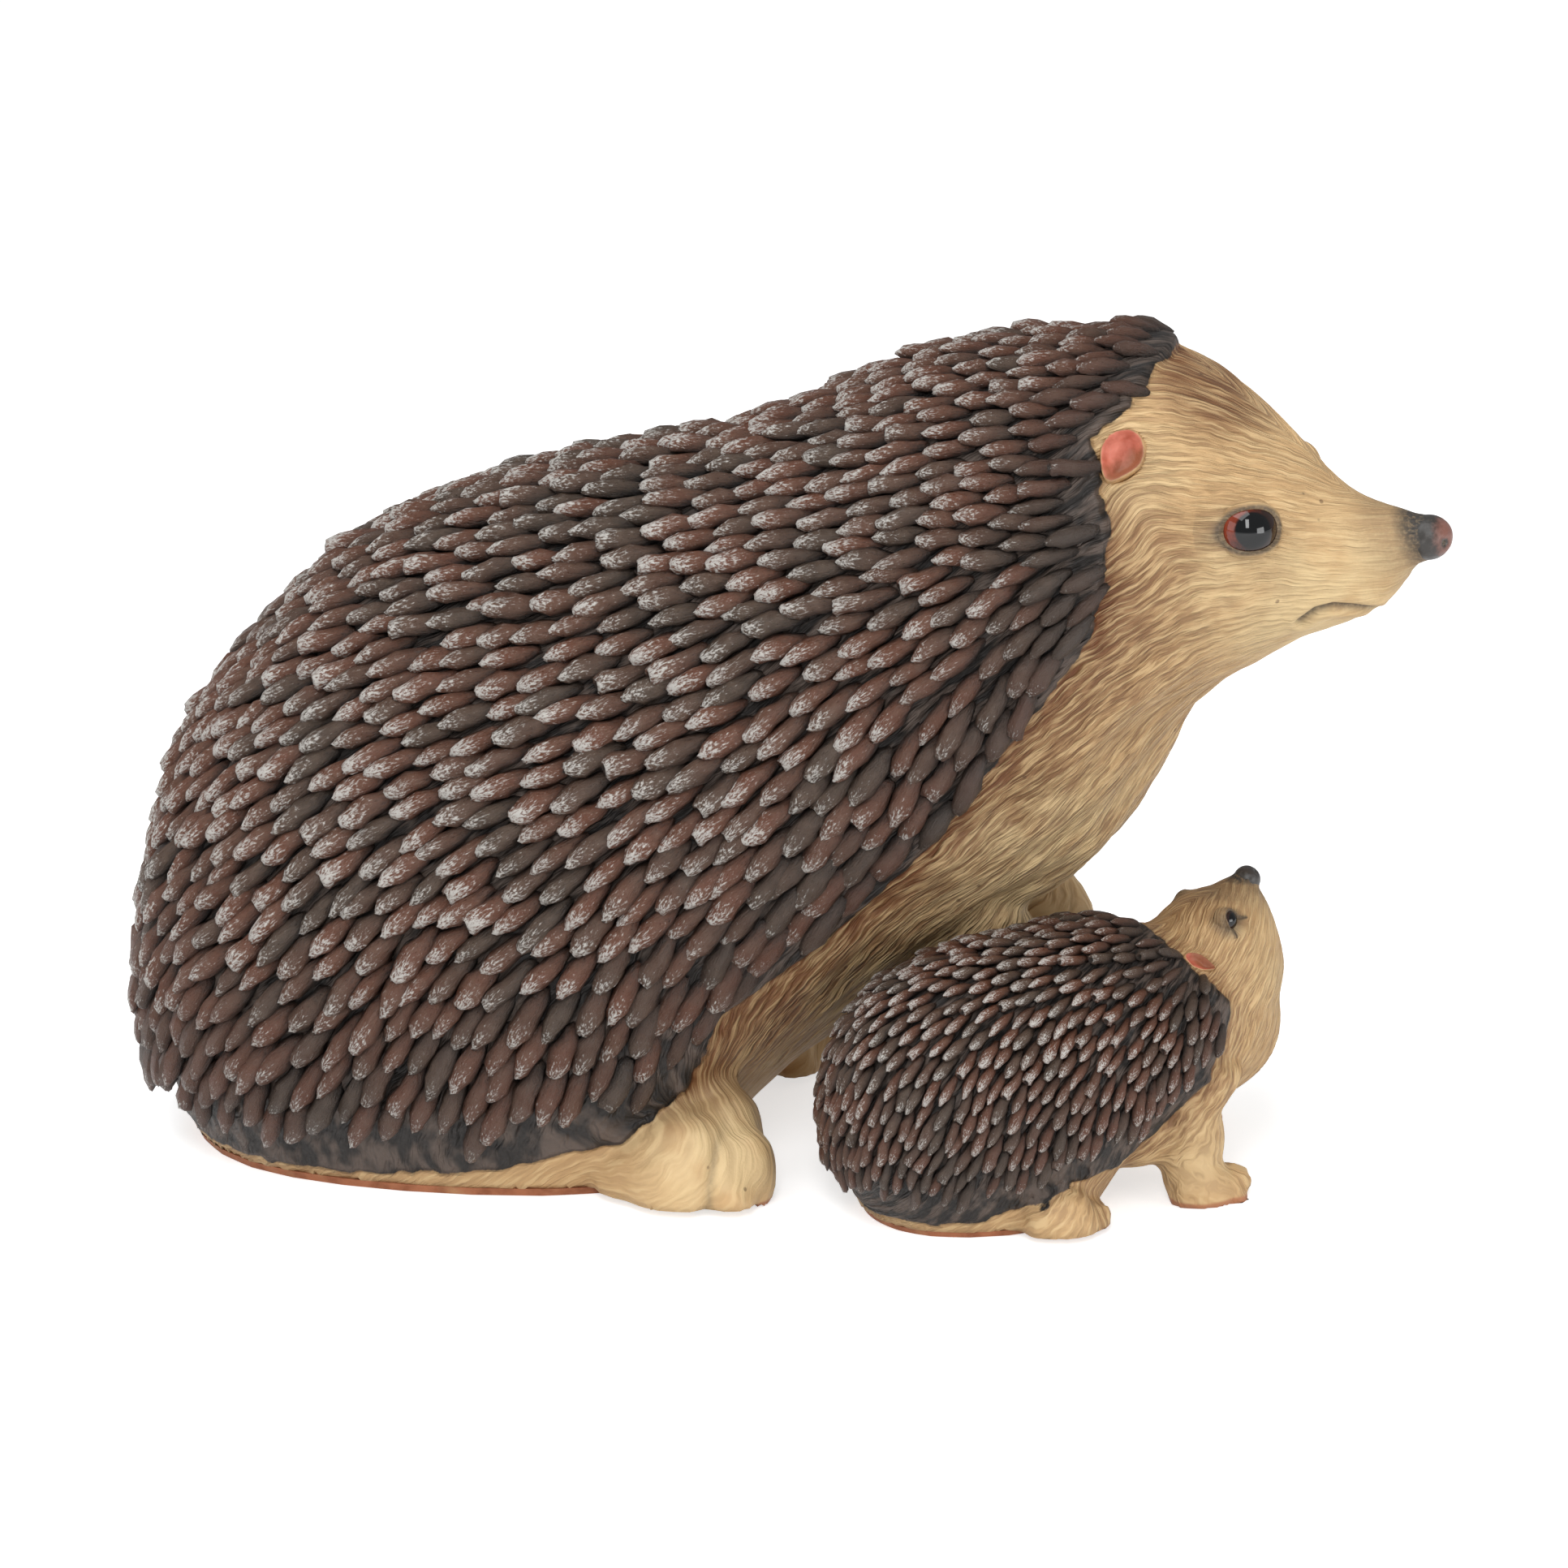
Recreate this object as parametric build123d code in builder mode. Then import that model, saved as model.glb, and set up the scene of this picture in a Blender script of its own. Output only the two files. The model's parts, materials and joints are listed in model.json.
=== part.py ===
from build123d import *
import os
from math import cos, dist, hypot, pi, radians, sin

# A painted resin garden ornament: a mother hedgehog sitting up, with her baby against her side.
# Millimetres. X runs from her rump to her muzzle, +Y to her left and Z up from the ground,
# and the origin lies on the ground under the middle of her back.

os.makedirs("parts", exist_ok=True)

# The mother
muzzle_reach = 200.0
mother_height = 175.0
mother_half_width = 54.0
mother_coat_thickness = 2.6
mother_wall = 7.0
mother_plate_thickness = 1.6

# The baby, which stands beside her and looks up at her face
baby_length = 100.0
baby_height = 60.0
baby_half_width = 25.0
baby_coat_thickness = 1.9
baby_plate_thickness = 1.2
baby_forward = 120.8
baby_aside = -31.7
baby_heading = 35.0

# The modelled quills that stand on both coats
mother_quill_length = 14.6
mother_quill_width = 5.4
mother_quill_height = 3.6
mother_row_pitch = 11.4
mother_quill_pitch = 8.0
baby_quill_length = 9.4
baby_quill_width = 3.7
baby_quill_height = 2.4
baby_row_pitch = 8.6
baby_quill_pitch = 7.0
quill_lean = 12.0

# Faces and feet
mother_eye_radius = 5.2
mother_nose_radius = 4.7
mother_ear_sizes = (10.5, 15.5, 7.0)
baby_eye_radius = 2.1
baby_nose_radius = 2.9
baby_ear_sizes = (6.5, 8.5, 4.4)
ear_rim_share = 0.2
ear_hollow_share = 0.4

# Her sections from the rump to the muzzle: along as a share of the muzzle reach, middle, rise and
# drop as shares of her height, breadth and shift as shares of her half width, and the head's turn
# and lean in degrees
mother_section_shares = [
    (-0.312, 0.194, 0.029, 0.029, 0.056, 0.000, 0.0, 0.0),
    (-0.302, 0.194, 0.103, 0.114, 0.296, 0.000, 0.0, 0.0),
    (-0.285, 0.194, 0.189, 0.171, 0.500, 0.000, 0.0, 0.0),
    (-0.250, 0.200, 0.291, 0.251, 0.704, 0.000, 0.0, 0.0),
    (-0.180, 0.206, 0.386, 0.354, 0.889, 0.000, 0.0, 0.0),
    (-0.075, 0.217, 0.486, 0.457, 0.981, 0.000, 0.0, 0.0),
    (0.060, 0.229, 0.540, 0.514, 1.000, 0.000, 0.0, 0.0),
    (0.200, 0.263, 0.553, 0.446, 0.972, 0.000, 0.0, 0.0),
    (0.310, 0.354, 0.491, 0.309, 0.889, 0.000, 0.0, 0.0),
    (0.410, 0.457, 0.434, 0.309, 0.806, 0.000, 0.0, 0.0),
    (0.510, 0.554, 0.387, 0.303, 0.741, 0.000, 0.0, 0.0),
    (0.610, 0.626, 0.340, 0.309, 0.694, -0.013, -2.0, 1.0),
    (0.675, 0.680, 0.294, 0.300, 0.657, -0.037, -5.0, 2.5),
    (0.720, 0.720, 0.263, 0.257, 0.620, -0.056, -7.0, 4.0),
    (0.755, 0.743, 0.229, 0.206, 0.574, -0.083, -8.0, 5.5),
    (0.790, 0.757, 0.191, 0.170, 0.519, -0.111, -9.0, 6.5),
    (0.830, 0.760, 0.149, 0.143, 0.435, -0.139, -9.0, 6.5),
    (0.870, 0.757, 0.114, 0.109, 0.343, -0.167, -9.0, 6.5),
    (0.910, 0.752, 0.076, 0.086, 0.250, -0.194, -9.0, 6.5),
    (0.950, 0.757, 0.055, 0.068, 0.176, -0.222, -9.0, 6.5),
    (0.970, 0.766, 0.043, 0.055, 0.130, -0.235, -9.0, 6.5),
    (0.988, 0.777, 0.023, 0.029, 0.083, -0.246, -9.0, 6.5),
]

# The baby's sections in the same order, as shares of its own length, height and half width
baby_section_shares = [
    (-0.385, 0.333, 0.050, 0.050, 0.100, 0.000, 0.0, 0.0),
    (-0.370, 0.333, 0.183, 0.167, 0.360, 0.000, 0.0, 0.0),
    (-0.335, 0.340, 0.308, 0.290, 0.580, 0.000, 0.0, 0.0),
    (-0.260, 0.360, 0.408, 0.500, 0.800, 0.000, 0.0, 0.0),
    (-0.120, 0.380, 0.475, 0.700, 0.960, 0.000, 0.0, 0.0),
    (0.040, 0.410, 0.475, 0.650, 1.000, 0.000, 0.0, 0.0),
    (0.170, 0.470, 0.430, 0.370, 0.960, 0.000, 0.0, 0.0),
    (0.280, 0.515, 0.375, 0.335, 0.880, 0.000, 0.0, 0.0),
    (0.370, 0.545, 0.325, 0.325, 0.780, 0.000, 0.0, 0.0),
    (0.450, 0.555, 0.300, 0.300, 0.660, 0.000, 0.0, 0.0),
    (0.520, 0.550, 0.240, 0.250, 0.520, 0.000, 0.0, 0.0),
    (0.570, 0.540, 0.150, 0.170, 0.320, 0.000, 0.0, 0.0),
    (0.590, 0.540, 0.050, 0.050, 0.100, 0.000, 0.0, 0.0),
]

# The baby's head rises steeply, and its face looks up by this many degrees. Its sections are along,
# middle, forehead, throat and breadth
baby_face_pitch = 60.0
baby_head_section_shares = [
    (0.380, 0.550, 0.267, 0.267, 0.640),
    (0.425, 0.667, 0.258, 0.275, 0.640),
    (0.460, 0.775, 0.225, 0.260, 0.580),
    (0.490, 0.867, 0.175, 0.200, 0.460),
    (0.510, 0.933, 0.092, 0.135, 0.320),
    (0.523, 0.983, 0.058, 0.067, 0.180),
]

# Where the coats end, seen from the side: from the crown down past the ear, along the flank to the
# hind foot and back under the rump, as shares of reach and height
mother_border_shares = [
    (0.800, 1.080),
    (0.745, 0.980),
    (0.672, 0.895),
    (0.695, 0.790),
    (0.680, 0.680),
    (0.610, 0.570),
    (0.515, 0.420),
    (0.410, 0.305),
    (0.312, 0.225),
    (0.270, 0.120),
    (0.200, 0.062),
    (0.060, 0.026),
]
baby_border_shares = [
    (0.300, 1.050),
    (0.285, 0.900),
    (0.330, 0.790),
    (0.395, 0.680),
    (0.365, 0.540),
    (0.300, 0.400),
    (0.200, 0.260),
    (0.060, 0.170),
    (-0.060, 0.110),
    (-0.200, 0.065),
]

# Legs from the body down to the sole: along, aside, height, half length and half breadth, as
# shares of the reach, half width and height that the body sections use
mother_left_foreleg_shares = [
    (0.545, 0.380, 0.440, 0.085, 0.185),
    (0.565, 0.375, 0.300, 0.068, 0.165),
    (0.600, 0.375, 0.170, 0.055, 0.150),
    (0.645, 0.375, 0.080, 0.052, 0.150),
    (0.690, 0.375, 0.030, 0.078, 0.165),
    (0.695, 0.375, 0.000, 0.080, 0.160),
]
mother_right_foreleg_shares = [
    (0.530, 0.260, 0.440, 0.090, 0.185),
    (0.535, 0.190, 0.300, 0.068, 0.160),
    (0.535, 0.090, 0.170, 0.052, 0.150),
    (0.540, 0.060, 0.080, 0.050, 0.150),
    (0.560, 0.055, 0.030, 0.072, 0.165),
    (0.562, 0.055, 0.000, 0.074, 0.160),
]
baby_foreleg_shares = [
    (0.330, 0.560, 0.480, 0.075, 0.260),
    (0.320, 0.640, 0.300, 0.058, 0.230),
    (0.315, 0.700, 0.140, 0.050, 0.210),
    (0.330, 0.740, 0.050, 0.075, 0.240),
    (0.332, 0.740, 0.000, 0.076, 0.230),
]

# Rows of the refined sections: the neck, the last row under the coat and the hollow's two ends
mother_neck_row = 24
mother_coat_rows = 29
mother_hollow_rows = (6, 23)
baby_coat_rows = 19

# How a quill is formed and how it lies
belly_share = 0.6
sink_share = 0.1
root_share = 0.45
tip_share = 0.35
top_slope = 24.0
side_slope = 58.0
angle_step = 0.05
spacing_share = 1.06
axis_shares = (0, 0.25, 0.5, 0.75, 1)
mother_nose_forward = 2.0
baby_nose_forward = 1.0
lowest_quill = 7.0
mother_quill_margin = 4.0
baby_quill_margin = 2.5

# Hind feet from heel to toes: along, aside, half breadth, rise, and toe places in front
mother_hind_foot_shares = [
    (0.190, 0.800, 0.100, 0.040),
    (0.240, 0.820, 0.170, 0.080),
    (0.290, 0.820, 0.205, 0.092),
    (0.325, 0.805, 0.195, 0.070),
    (0.345, 0.790, 0.140, 0.045),
]
mother_hind_toe_shares = [(0.325, 0.930), (0.342, 0.790), (0.325, 0.650)]
mother_toe_radius = 5.4
mother_foot_underlay = 2.5
mother_fore_toe_spread = 6.0
mother_fore_toe_radius = 4.2
baby_hind_foot_shares = [
    (-0.100, 0.900, 0.160, 0.080),
    (-0.050, 0.960, 0.240, 0.130),
    (0.000, 0.960, 0.270, 0.140),
    (0.040, 0.920, 0.230, 0.100),
]
baby_hind_toe_shares = [(0.045, 1.040), (0.055, 0.900), (0.045, 0.760)]
baby_toe_radius = 2.6
baby_foot_underlay = 1.2
baby_fore_toe_spread = 3.2
baby_fore_toe_radius = 2.4

# Places on the faces, in the plane of the section they sit on: aside, up and forward
mother_eye_section = 16
mother_eye_place = (20.0, 8.6, 1.0)
mother_ear_section = 13
mother_ear_place = (26.6, 30.4, -0.5)
mother_ear_outward = (0.80, 0.45, 0.30)
baby_eye_section = 3
baby_eye_place = (8.3, 6.4, -0.4)
baby_ear_section = 1
baby_ear_place = (12.6, 10.6, 3.3)
baby_ear_outward = (0.85, 0.50, 0.10)

# Her mouth, as seen from the side
mouth_line_shares = [(0.866, 0.668), (0.895, 0.692), (0.930, 0.692), (0.965, 0.700)]
mouth_height = 0.8
mouth_depth = 1.2


def section_plane(along, aside, middle, turn, lean, pitch):
    """The plane across the body at one section, turned, leant and pitched in degrees."""
    forward = (cos(radians(turn)) * cos(radians(pitch)), sin(radians(turn)) * cos(radians(pitch)),
               sin(radians(pitch)))
    leftward = (-sin(radians(turn)) * cos(radians(lean)), cos(radians(turn)) * cos(radians(lean)),
                sin(radians(lean)))
    return Plane(origin=(along, aside, middle), x_dir=leftward, z_dir=forward)


def between(low, high, share):
    """Part of the way from one row of numbers to the next."""
    return tuple(start + (end - start) * share for start, end in zip(low, high))


def refined(rows):
    """The rows with one more between each pair, on the smooth curve through their neighbours."""
    result = []
    for index in range(len(rows) - 1):
        before, low, high, after = (rows[max(index - 1, 0)], rows[index], rows[index + 1],
                                    rows[min(index + 2, len(rows) - 1)])
        middle = tuple((9 * (b + c) - a - d) / 16 for a, b, c, d in zip(before, low, high, after))
        result += [low, middle]
    return result + [rows[-1]]


def body_sections(rows, reach, height, half_width, growth=0.0):
    """Sections as (plane, half breadth, rise, drop), grown outwards by a thickness."""
    sections = []
    for along, middle, rise, drop, breadth, shift, turn, lean in rows:
        backward = max(growth * (1 - breadth), 0) if along < 0 else 0
        plane = section_plane(along * reach - backward, shift * half_width, middle * height,
                              turn, lean, 0)
        sections.append((plane, breadth * half_width + growth, rise * height + growth,
                         drop * height + growth))
    return sections


def limb_sections(rows, reach, height, half_width, side):
    """Level sections of a leg from the body down to the sole."""
    sections = []
    for along, aside, level, half_length, half_breadth in rows:
        plane = Plane(origin=(along * reach, side * aside * half_width, level * height),
                      x_dir=(0, 1, 0), z_dir=(0, 0, -1))
        sections.append((plane, half_breadth * half_width, half_length * reach, half_length * reach))
    return sections


def head_sections(rows, reach, height, half_width):
    """Sections of the baby's raised head, square to the way its face looks."""
    sections = []
    for along, middle, rise, drop, breadth in rows:
        plane = section_plane(along * reach, 0, middle * height, 0, 0, baby_face_pitch)
        sections.append((plane, breadth * half_width, rise * height, drop * height))
    return sections


def lofted(sections, straight=True):
    """A closed solid through sections of four quarter arcs each."""
    with BuildPart() as solid:
        for plane, half_breadth, rise, drop in sections:
            with BuildSketch(plane):
                with BuildLine():
                    EllipticalCenterArc((0, 0), half_breadth, rise, start_angle=0, arc_size=90)
                    EllipticalCenterArc((0, 0), half_breadth, rise, start_angle=90, arc_size=90)
                    EllipticalCenterArc((0, 0), half_breadth, drop, start_angle=180, arc_size=90)
                    EllipticalCenterArc((0, 0), half_breadth, drop, start_angle=270, arc_size=90)
                make_face()
        loft(ruled=straight)
    return solid.part


def above(shape, level):
    """The part of a solid above a level."""
    with BuildPart() as kept:
        add(shape)
        split(bisect_by=Plane.XY.offset(level), keep=Keep.TOP)
    return kept.part


def slab(shape, level):
    """The part of a solid between the ground and a level."""
    with BuildPart() as kept:
        add(shape)
        split(bisect_by=Plane.XY.offset(level), keep=Keep.BOTTOM)
        split(bisect_by=Plane.XY, keep=Keep.TOP)
    return kept.part


def coat_region(border_shares, reach, height, half_width):
    """The space behind the coat's border, as seen from the side and cut right across the body."""
    points = [(along * reach, level * height) for along, level in border_shares]
    with BuildPart() as region:
        with BuildSketch(Plane.XZ):
            with BuildLine():
                Spline(*points)
                Polyline(points[-1], (-reach, points[-1][1]), (-reach, points[0][1]), points[0])
            make_face()
        extrude(amount=2 * half_width, both=True)
    return region.part


def border_reach(level, border_shares, reach, height):
    """How far forward the coat comes at a level, or far behind the body where it has ended."""
    points = [(along * reach, rise * height) for along, rise in border_shares]
    for upper, lower in zip(points, points[1:]):
        if lower[1] <= level <= upper[1]:
            return between(upper, lower, (upper[1] - level) / (upper[1] - lower[1]))[0]
    return -reach


def ring_point(section, angle):
    """The point of a section at an angle from its left side."""
    plane, half_breadth, rise, drop = section
    upright = rise if sin(angle) >= 0 else drop
    return plane.origin + plane.x_dir * (half_breadth * cos(angle)) + plane.y_dir * (upright * sin(angle))


def passes(mine, theirs, outward, width, height):
    """Whether a point of one quill's axis is clear of another's, beside it or over it."""
    gap = dist(mine, theirs)
    if gap > spacing_share * width:
        return True
    rise = sum((there - here) * out for here, there, out in zip(mine, theirs, outward))
    return hypot((gap * gap - rise * rise) ** 0.5 / width, rise / height) > spacing_share


def quill_places(sections, sizes, stands):
    """Planes for the quills: staggered rows round the coat, each quill pointing back and down."""
    length, width, height, row_pitch, quill_pitch = sizes
    places = []
    taken = []
    travelled = 0.0
    next_row = row_pitch / 2
    row = 0
    for low, high in zip(sections, sections[1:]):
        step = hypot((high[0].origin - low[0].origin).length,
                     max(abs(high[1] - low[1]), abs(high[2] - low[2])))
        while next_row <= travelled + step:
            share = (next_row - travelled) / step
            breadth, rise = between(low[1:3], high[1:3], share)
            for side in (1, -1):
                angle = (1 + row % 2) * quill_pitch / 2 / breadth
                while angle < pi:
                    around = pi / 2 + side * angle
                    front, back = ring_point(high, around), ring_point(low, around)
                    point = back + (front - back) * share
                    across = ring_point(low, around + angle_step) - ring_point(low, around - angle_step)
                    outward = across.cross(front - back).normalized()
                    slope = radians(top_slope + (side_slope - top_slope) * sin(min(angle, pi / 2)))
                    flow = Vector(-cos(slope), 0, -sin(slope))
                    flow = (flow - outward * flow.dot(outward)).normalized()
                    lifted = flow * cos(radians(quill_lean)) + outward * sin(radians(quill_lean))
                    ends = [tuple(point + lifted * (length * part)) for part in axis_shares]
                    clear = all(passes(mine, theirs, tuple(outward), width, height)
                                for mine in ends for theirs in taken)
                    if clear and stands(*ends[0]) and stands(*ends[-1]):
                        taken.extend(ends)
                        places.append(Plane(origin=point, x_dir=outward.cross(lifted), z_dir=lifted))
                    angle += quill_pitch / hypot(breadth * cos(angle), rise * sin(angle))
            row += 1
            next_row += row_pitch
        travelled += step
    return places


def quill_stands(along, level, border_shares, sizes, margin):
    """Whether a point lies far enough inside the coat's border to carry a quill."""
    reach, height, _ = sizes
    return level > lowest_quill and along + margin < border_reach(level, border_shares, reach, height)


def modelled_quill(length, width, height):
    """One four-sided quill along Z: a short root that widens, then a long taper to a blunt tip."""
    belly = belly_share * length
    with BuildPart() as quill:
        with Locations(Location((0, 0, (belly - sink_share * length) / 2), (-90, 0, 0))):
            Wedge(width, belly + sink_share * length, height, *wedge_end(width, height, root_share))
        with Locations(Location((0, 0, (belly + length) / 2), (90, 0, 0))):
            Wedge(width, length - belly, height, *wedge_end(width, height, tip_share))
    return quill.part


def wedge_end(width, height, share):
    """The limits of a wedge's narrow end."""
    return (width * (1 - share) / 2, height * (1 - share) / 2,
            width * (1 + share) / 2, height * (1 + share) / 2)


def quilled_coat(outer, region, carried, quill, places):
    """A coat's shell between its border and the body, with all its quills fused on at once."""
    with BuildPart() as coat:
        add(outer)
        add(region, mode=Mode.INTERSECT)
        for shape in carried:
            add(shape, mode=Mode.SUBTRACT)
        shell = coat.part.solids().sort_by(SortBy.VOLUME)[-1]
        add(shell, mode=Mode.REPLACE)
        with Locations(*places):
            add(quill)
    return coat.part


def inset_eye(plane, place, side, radius):
    """An eyeball at a place to one side of the face."""
    aside, up, forward = place
    centre = plane.origin + plane.x_dir * (side * aside) + plane.y_dir * up + plane.z_dir * forward
    with BuildPart() as eye:
        with Locations(centre):
            Sphere(radius)
    return eye.part


def cupped_ear(plane, place, outward, side, sizes):
    """An oval ear: a rounded pad standing out of the head, hollowed inside its rim."""
    width, height, depth = sizes
    aside, up, forward = place
    centre = plane.origin + plane.x_dir * (side * aside) + plane.y_dir * up + plane.z_dir * forward
    out = plane.x_dir * (side * outward[0]) + plane.y_dir * outward[1] + plane.z_dir * outward[2]
    ear_plane = Plane(origin=centre, x_dir=plane.y_dir.cross(out), z_dir=out)
    rim = ear_rim_share * width
    with BuildPart() as ear:
        with BuildSketch(ear_plane.offset(-depth / 2)):
            Ellipse(width / 2, height / 2)
        extrude(amount=depth)
        fillet(ear.edges().group_by(lambda edge: edge.center().dot(out))[-1], rim / 2)
        with BuildSketch(ear_plane.offset(depth / 2)):
            Ellipse(width / 2 - rim, height / 2 - rim)
        extrude(amount=-ear_hollow_share * depth, mode=Mode.SUBTRACT)
    return ear.part


def foot(rows, reach, height, half_width, side, underlay, toes, toe_radius):
    """A hind foot: a long mound from heel to toes, flat on the ground, with three round toes."""
    sections = []
    for along, aside, half_breadth, rise in rows:
        plane = section_plane(along * reach, side * aside * half_width, underlay, 0, 0, 0)
        sections.append((plane, half_breadth * half_width, rise * height, 2 * underlay))
    with BuildPart() as solid:
        add(lofted(sections, straight=False))
        for along, aside in toes:
            with Locations((along * reach, side * aside * half_width, underlay)):
                Sphere(toe_radius)
    return above(solid.part, 0)


def foreleg(rows, reach, height, half_width, side, toe_radius, spread):
    """A foreleg down to its sole, with three round toes in front."""
    sections = limb_sections(rows, reach, height, half_width, side)
    sole, _, half_length, _ = sections[-1]
    with BuildPart() as solid:
        add(lofted(sections, straight=False))
        for step in (-1, 0, 1):
            with Locations(sole.origin + Vector(half_length - abs(step) * toe_radius / 2, step * spread, 0)):
                Sphere(toe_radius)
    return above(solid.part, 0)


def trimmed(shape, *carriers):
    """A piece cut back to where it meets the pieces that carry it."""
    with BuildPart() as piece:
        add(shape)
        for carrier in carriers:
            add(carrier, mode=Mode.SUBTRACT)
        largest = piece.part.solids().sort_by(SortBy.VOLUME)[-1]
        add(largest, mode=Mode.REPLACE)
    return piece.part


# The mother's skin, in one run of sections that the neck divides
mother_rows = refined(mother_section_shares)
mother_sizes = (muzzle_reach, mother_height, mother_half_width)
mother_sections = body_sections(mother_rows, *mother_sizes)
mother_trunk = lofted(mother_sections[:mother_neck_row + 1])
mother_front = lofted(mother_sections[mother_neck_row:])
mother_outer = lofted(body_sections(mother_rows[:mother_coat_rows], *mother_sizes, mother_coat_thickness))
mother_hollow = lofted(body_sections(mother_rows[mother_hollow_rows[0]:mother_hollow_rows[1]],
                                     *mother_sizes, -mother_wall))

eye_plane = mother_sections[2 * mother_eye_section][0]
ear_plane = mother_sections[2 * mother_ear_section][0]
muzzle_plane = mother_sections[-1][0]

with BuildPart() as mother_left_eye:
    add(inset_eye(eye_plane, mother_eye_place, 1, mother_eye_radius))
with BuildPart() as mother_right_eye:
    add(inset_eye(eye_plane, mother_eye_place, -1, mother_eye_radius))
with BuildPart() as mother_nose:
    with Locations(muzzle_plane.origin + muzzle_plane.z_dir * mother_nose_forward):
        Sphere(mother_nose_radius)

# The cast body: hollow, and open underneath where the plate closes it
with BuildPart() as mother_body:
    add(above(mother_trunk, mother_plate_thickness))
    add(mother_hollow, mode=Mode.SUBTRACT)

with BuildPart() as mother_base_plate:
    add(slab(mother_trunk, mother_plate_thickness))

# The head, with sockets for the eyes and nose and a fine groove for the mouth
with BuildPart() as mouth_groove:
    with BuildSketch(Plane.XZ) as mouth_outline:
        with BuildLine() as mouth_line:
            Spline(*[(along * muzzle_reach, level * mother_height) for along, level in mouth_line_shares])
        trace(line_width=mouth_height)
    extrude(amount=mother_half_width, both=True)
    add(lofted(body_sections(mother_rows[mother_neck_row:], *mother_sizes, -mouth_depth)),
        mode=Mode.SUBTRACT)

with BuildPart() as mother_head:
    add(mother_front)
    add(mother_left_eye.part, mode=Mode.SUBTRACT)
    add(mother_right_eye.part, mode=Mode.SUBTRACT)
    add(mother_nose.part, mode=Mode.SUBTRACT)
    add(mouth_groove.part, mode=Mode.SUBTRACT)

# Her ears, legs and feet, cut back to the body that carries them
with BuildPart() as mother_left_ear:
    add(trimmed(cupped_ear(ear_plane, mother_ear_place, mother_ear_outward, 1, mother_ear_sizes),
                mother_trunk, mother_front))
with BuildPart() as mother_right_ear:
    add(trimmed(cupped_ear(ear_plane, mother_ear_place, mother_ear_outward, -1, mother_ear_sizes),
                mother_trunk, mother_front))
mother_ears = (mother_left_ear.part, mother_right_ear.part)
with BuildPart() as mother_left_foreleg:
    add(trimmed(foreleg(mother_left_foreleg_shares, *mother_sizes, 1, mother_fore_toe_radius,
                        mother_fore_toe_spread), mother_trunk, mother_front))
with BuildPart() as mother_left_hind_foot:
    add(trimmed(foot(mother_hind_foot_shares, *mother_sizes, 1, mother_foot_underlay,
                     mother_hind_toe_shares, mother_toe_radius), mother_trunk))
with BuildPart() as mother_right_hind_foot:
    add(trimmed(foot(mother_hind_foot_shares, *mother_sizes, -1, mother_foot_underlay,
                     mother_hind_toe_shares, mother_toe_radius), mother_trunk))

# Her coat, a thick skin of quills from the crown to the rump
with BuildPart() as mother_quill_coat:
    add(quilled_coat(
        mother_outer, coat_region(mother_border_shares, *mother_sizes),
        (mother_trunk, mother_front, *mother_ears, mother_left_hind_foot.part,
         mother_right_hind_foot.part),
        modelled_quill(mother_quill_length, mother_quill_width, mother_quill_height),
        quill_places(
            body_sections(mother_rows[:mother_coat_rows], *mother_sizes, mother_coat_thickness),
            (mother_quill_length, mother_quill_width, mother_quill_height, mother_row_pitch,
             mother_quill_pitch),
            lambda along, aside, level: quill_stands(
                along, level, mother_border_shares, mother_sizes, mother_quill_margin))))

# The baby, modelled along its own line and then turned to its place beside her
baby_stand = Location((baby_forward, baby_aside, 0), (0, 0, baby_heading))
baby_sizes = (baby_length, baby_height, baby_half_width)
baby_rows = refined(baby_section_shares)
baby_trunk = lofted(body_sections(baby_rows, *baby_sizes))
baby_outer = lofted(body_sections(baby_rows[:baby_coat_rows], *baby_sizes, baby_coat_thickness))
baby_head_sections = head_sections(refined(baby_head_section_shares), *baby_sizes)
baby_front = lofted(baby_head_sections)
baby_eye_plane = baby_head_sections[2 * baby_eye_section][0]
baby_ear_plane = baby_head_sections[2 * baby_ear_section][0]
baby_tip_plane = baby_head_sections[-1][0]

baby_eyes = [inset_eye(baby_eye_plane, baby_eye_place, side, baby_eye_radius) for side in (1, -1)]
baby_ears = [trimmed(cupped_ear(baby_ear_plane, baby_ear_place, baby_ear_outward, side, baby_ear_sizes),
                     baby_trunk, baby_front) for side in (1, -1)]
baby_hind_feet = [trimmed(foot(baby_hind_foot_shares, *baby_sizes, side, baby_foot_underlay,
                               baby_hind_toe_shares, baby_toe_radius), baby_trunk)
                  for side in (1, -1)]
baby_forelegs = [trimmed(foreleg(baby_foreleg_shares, *baby_sizes, side, baby_fore_toe_radius,
                                 baby_fore_toe_spread), baby_trunk) for side in (1, -1)]
with BuildPart() as baby_snout:
    with Locations(baby_tip_plane.origin + baby_tip_plane.z_dir * baby_nose_forward):
        Sphere(baby_nose_radius)
baby_coat = quilled_coat(
    baby_outer, coat_region(baby_border_shares, *baby_sizes),
    (baby_trunk, baby_front, *baby_ears, *baby_hind_feet, *baby_forelegs),
    modelled_quill(baby_quill_length, baby_quill_width, baby_quill_height),
    quill_places(
        body_sections(baby_rows[:baby_coat_rows], *baby_sizes, baby_coat_thickness),
        (baby_quill_length, baby_quill_width, baby_quill_height, baby_row_pitch,
         baby_quill_pitch),
        lambda along, aside, level: quill_stands(
            along, level, baby_border_shares, baby_sizes, baby_quill_margin)))

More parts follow.
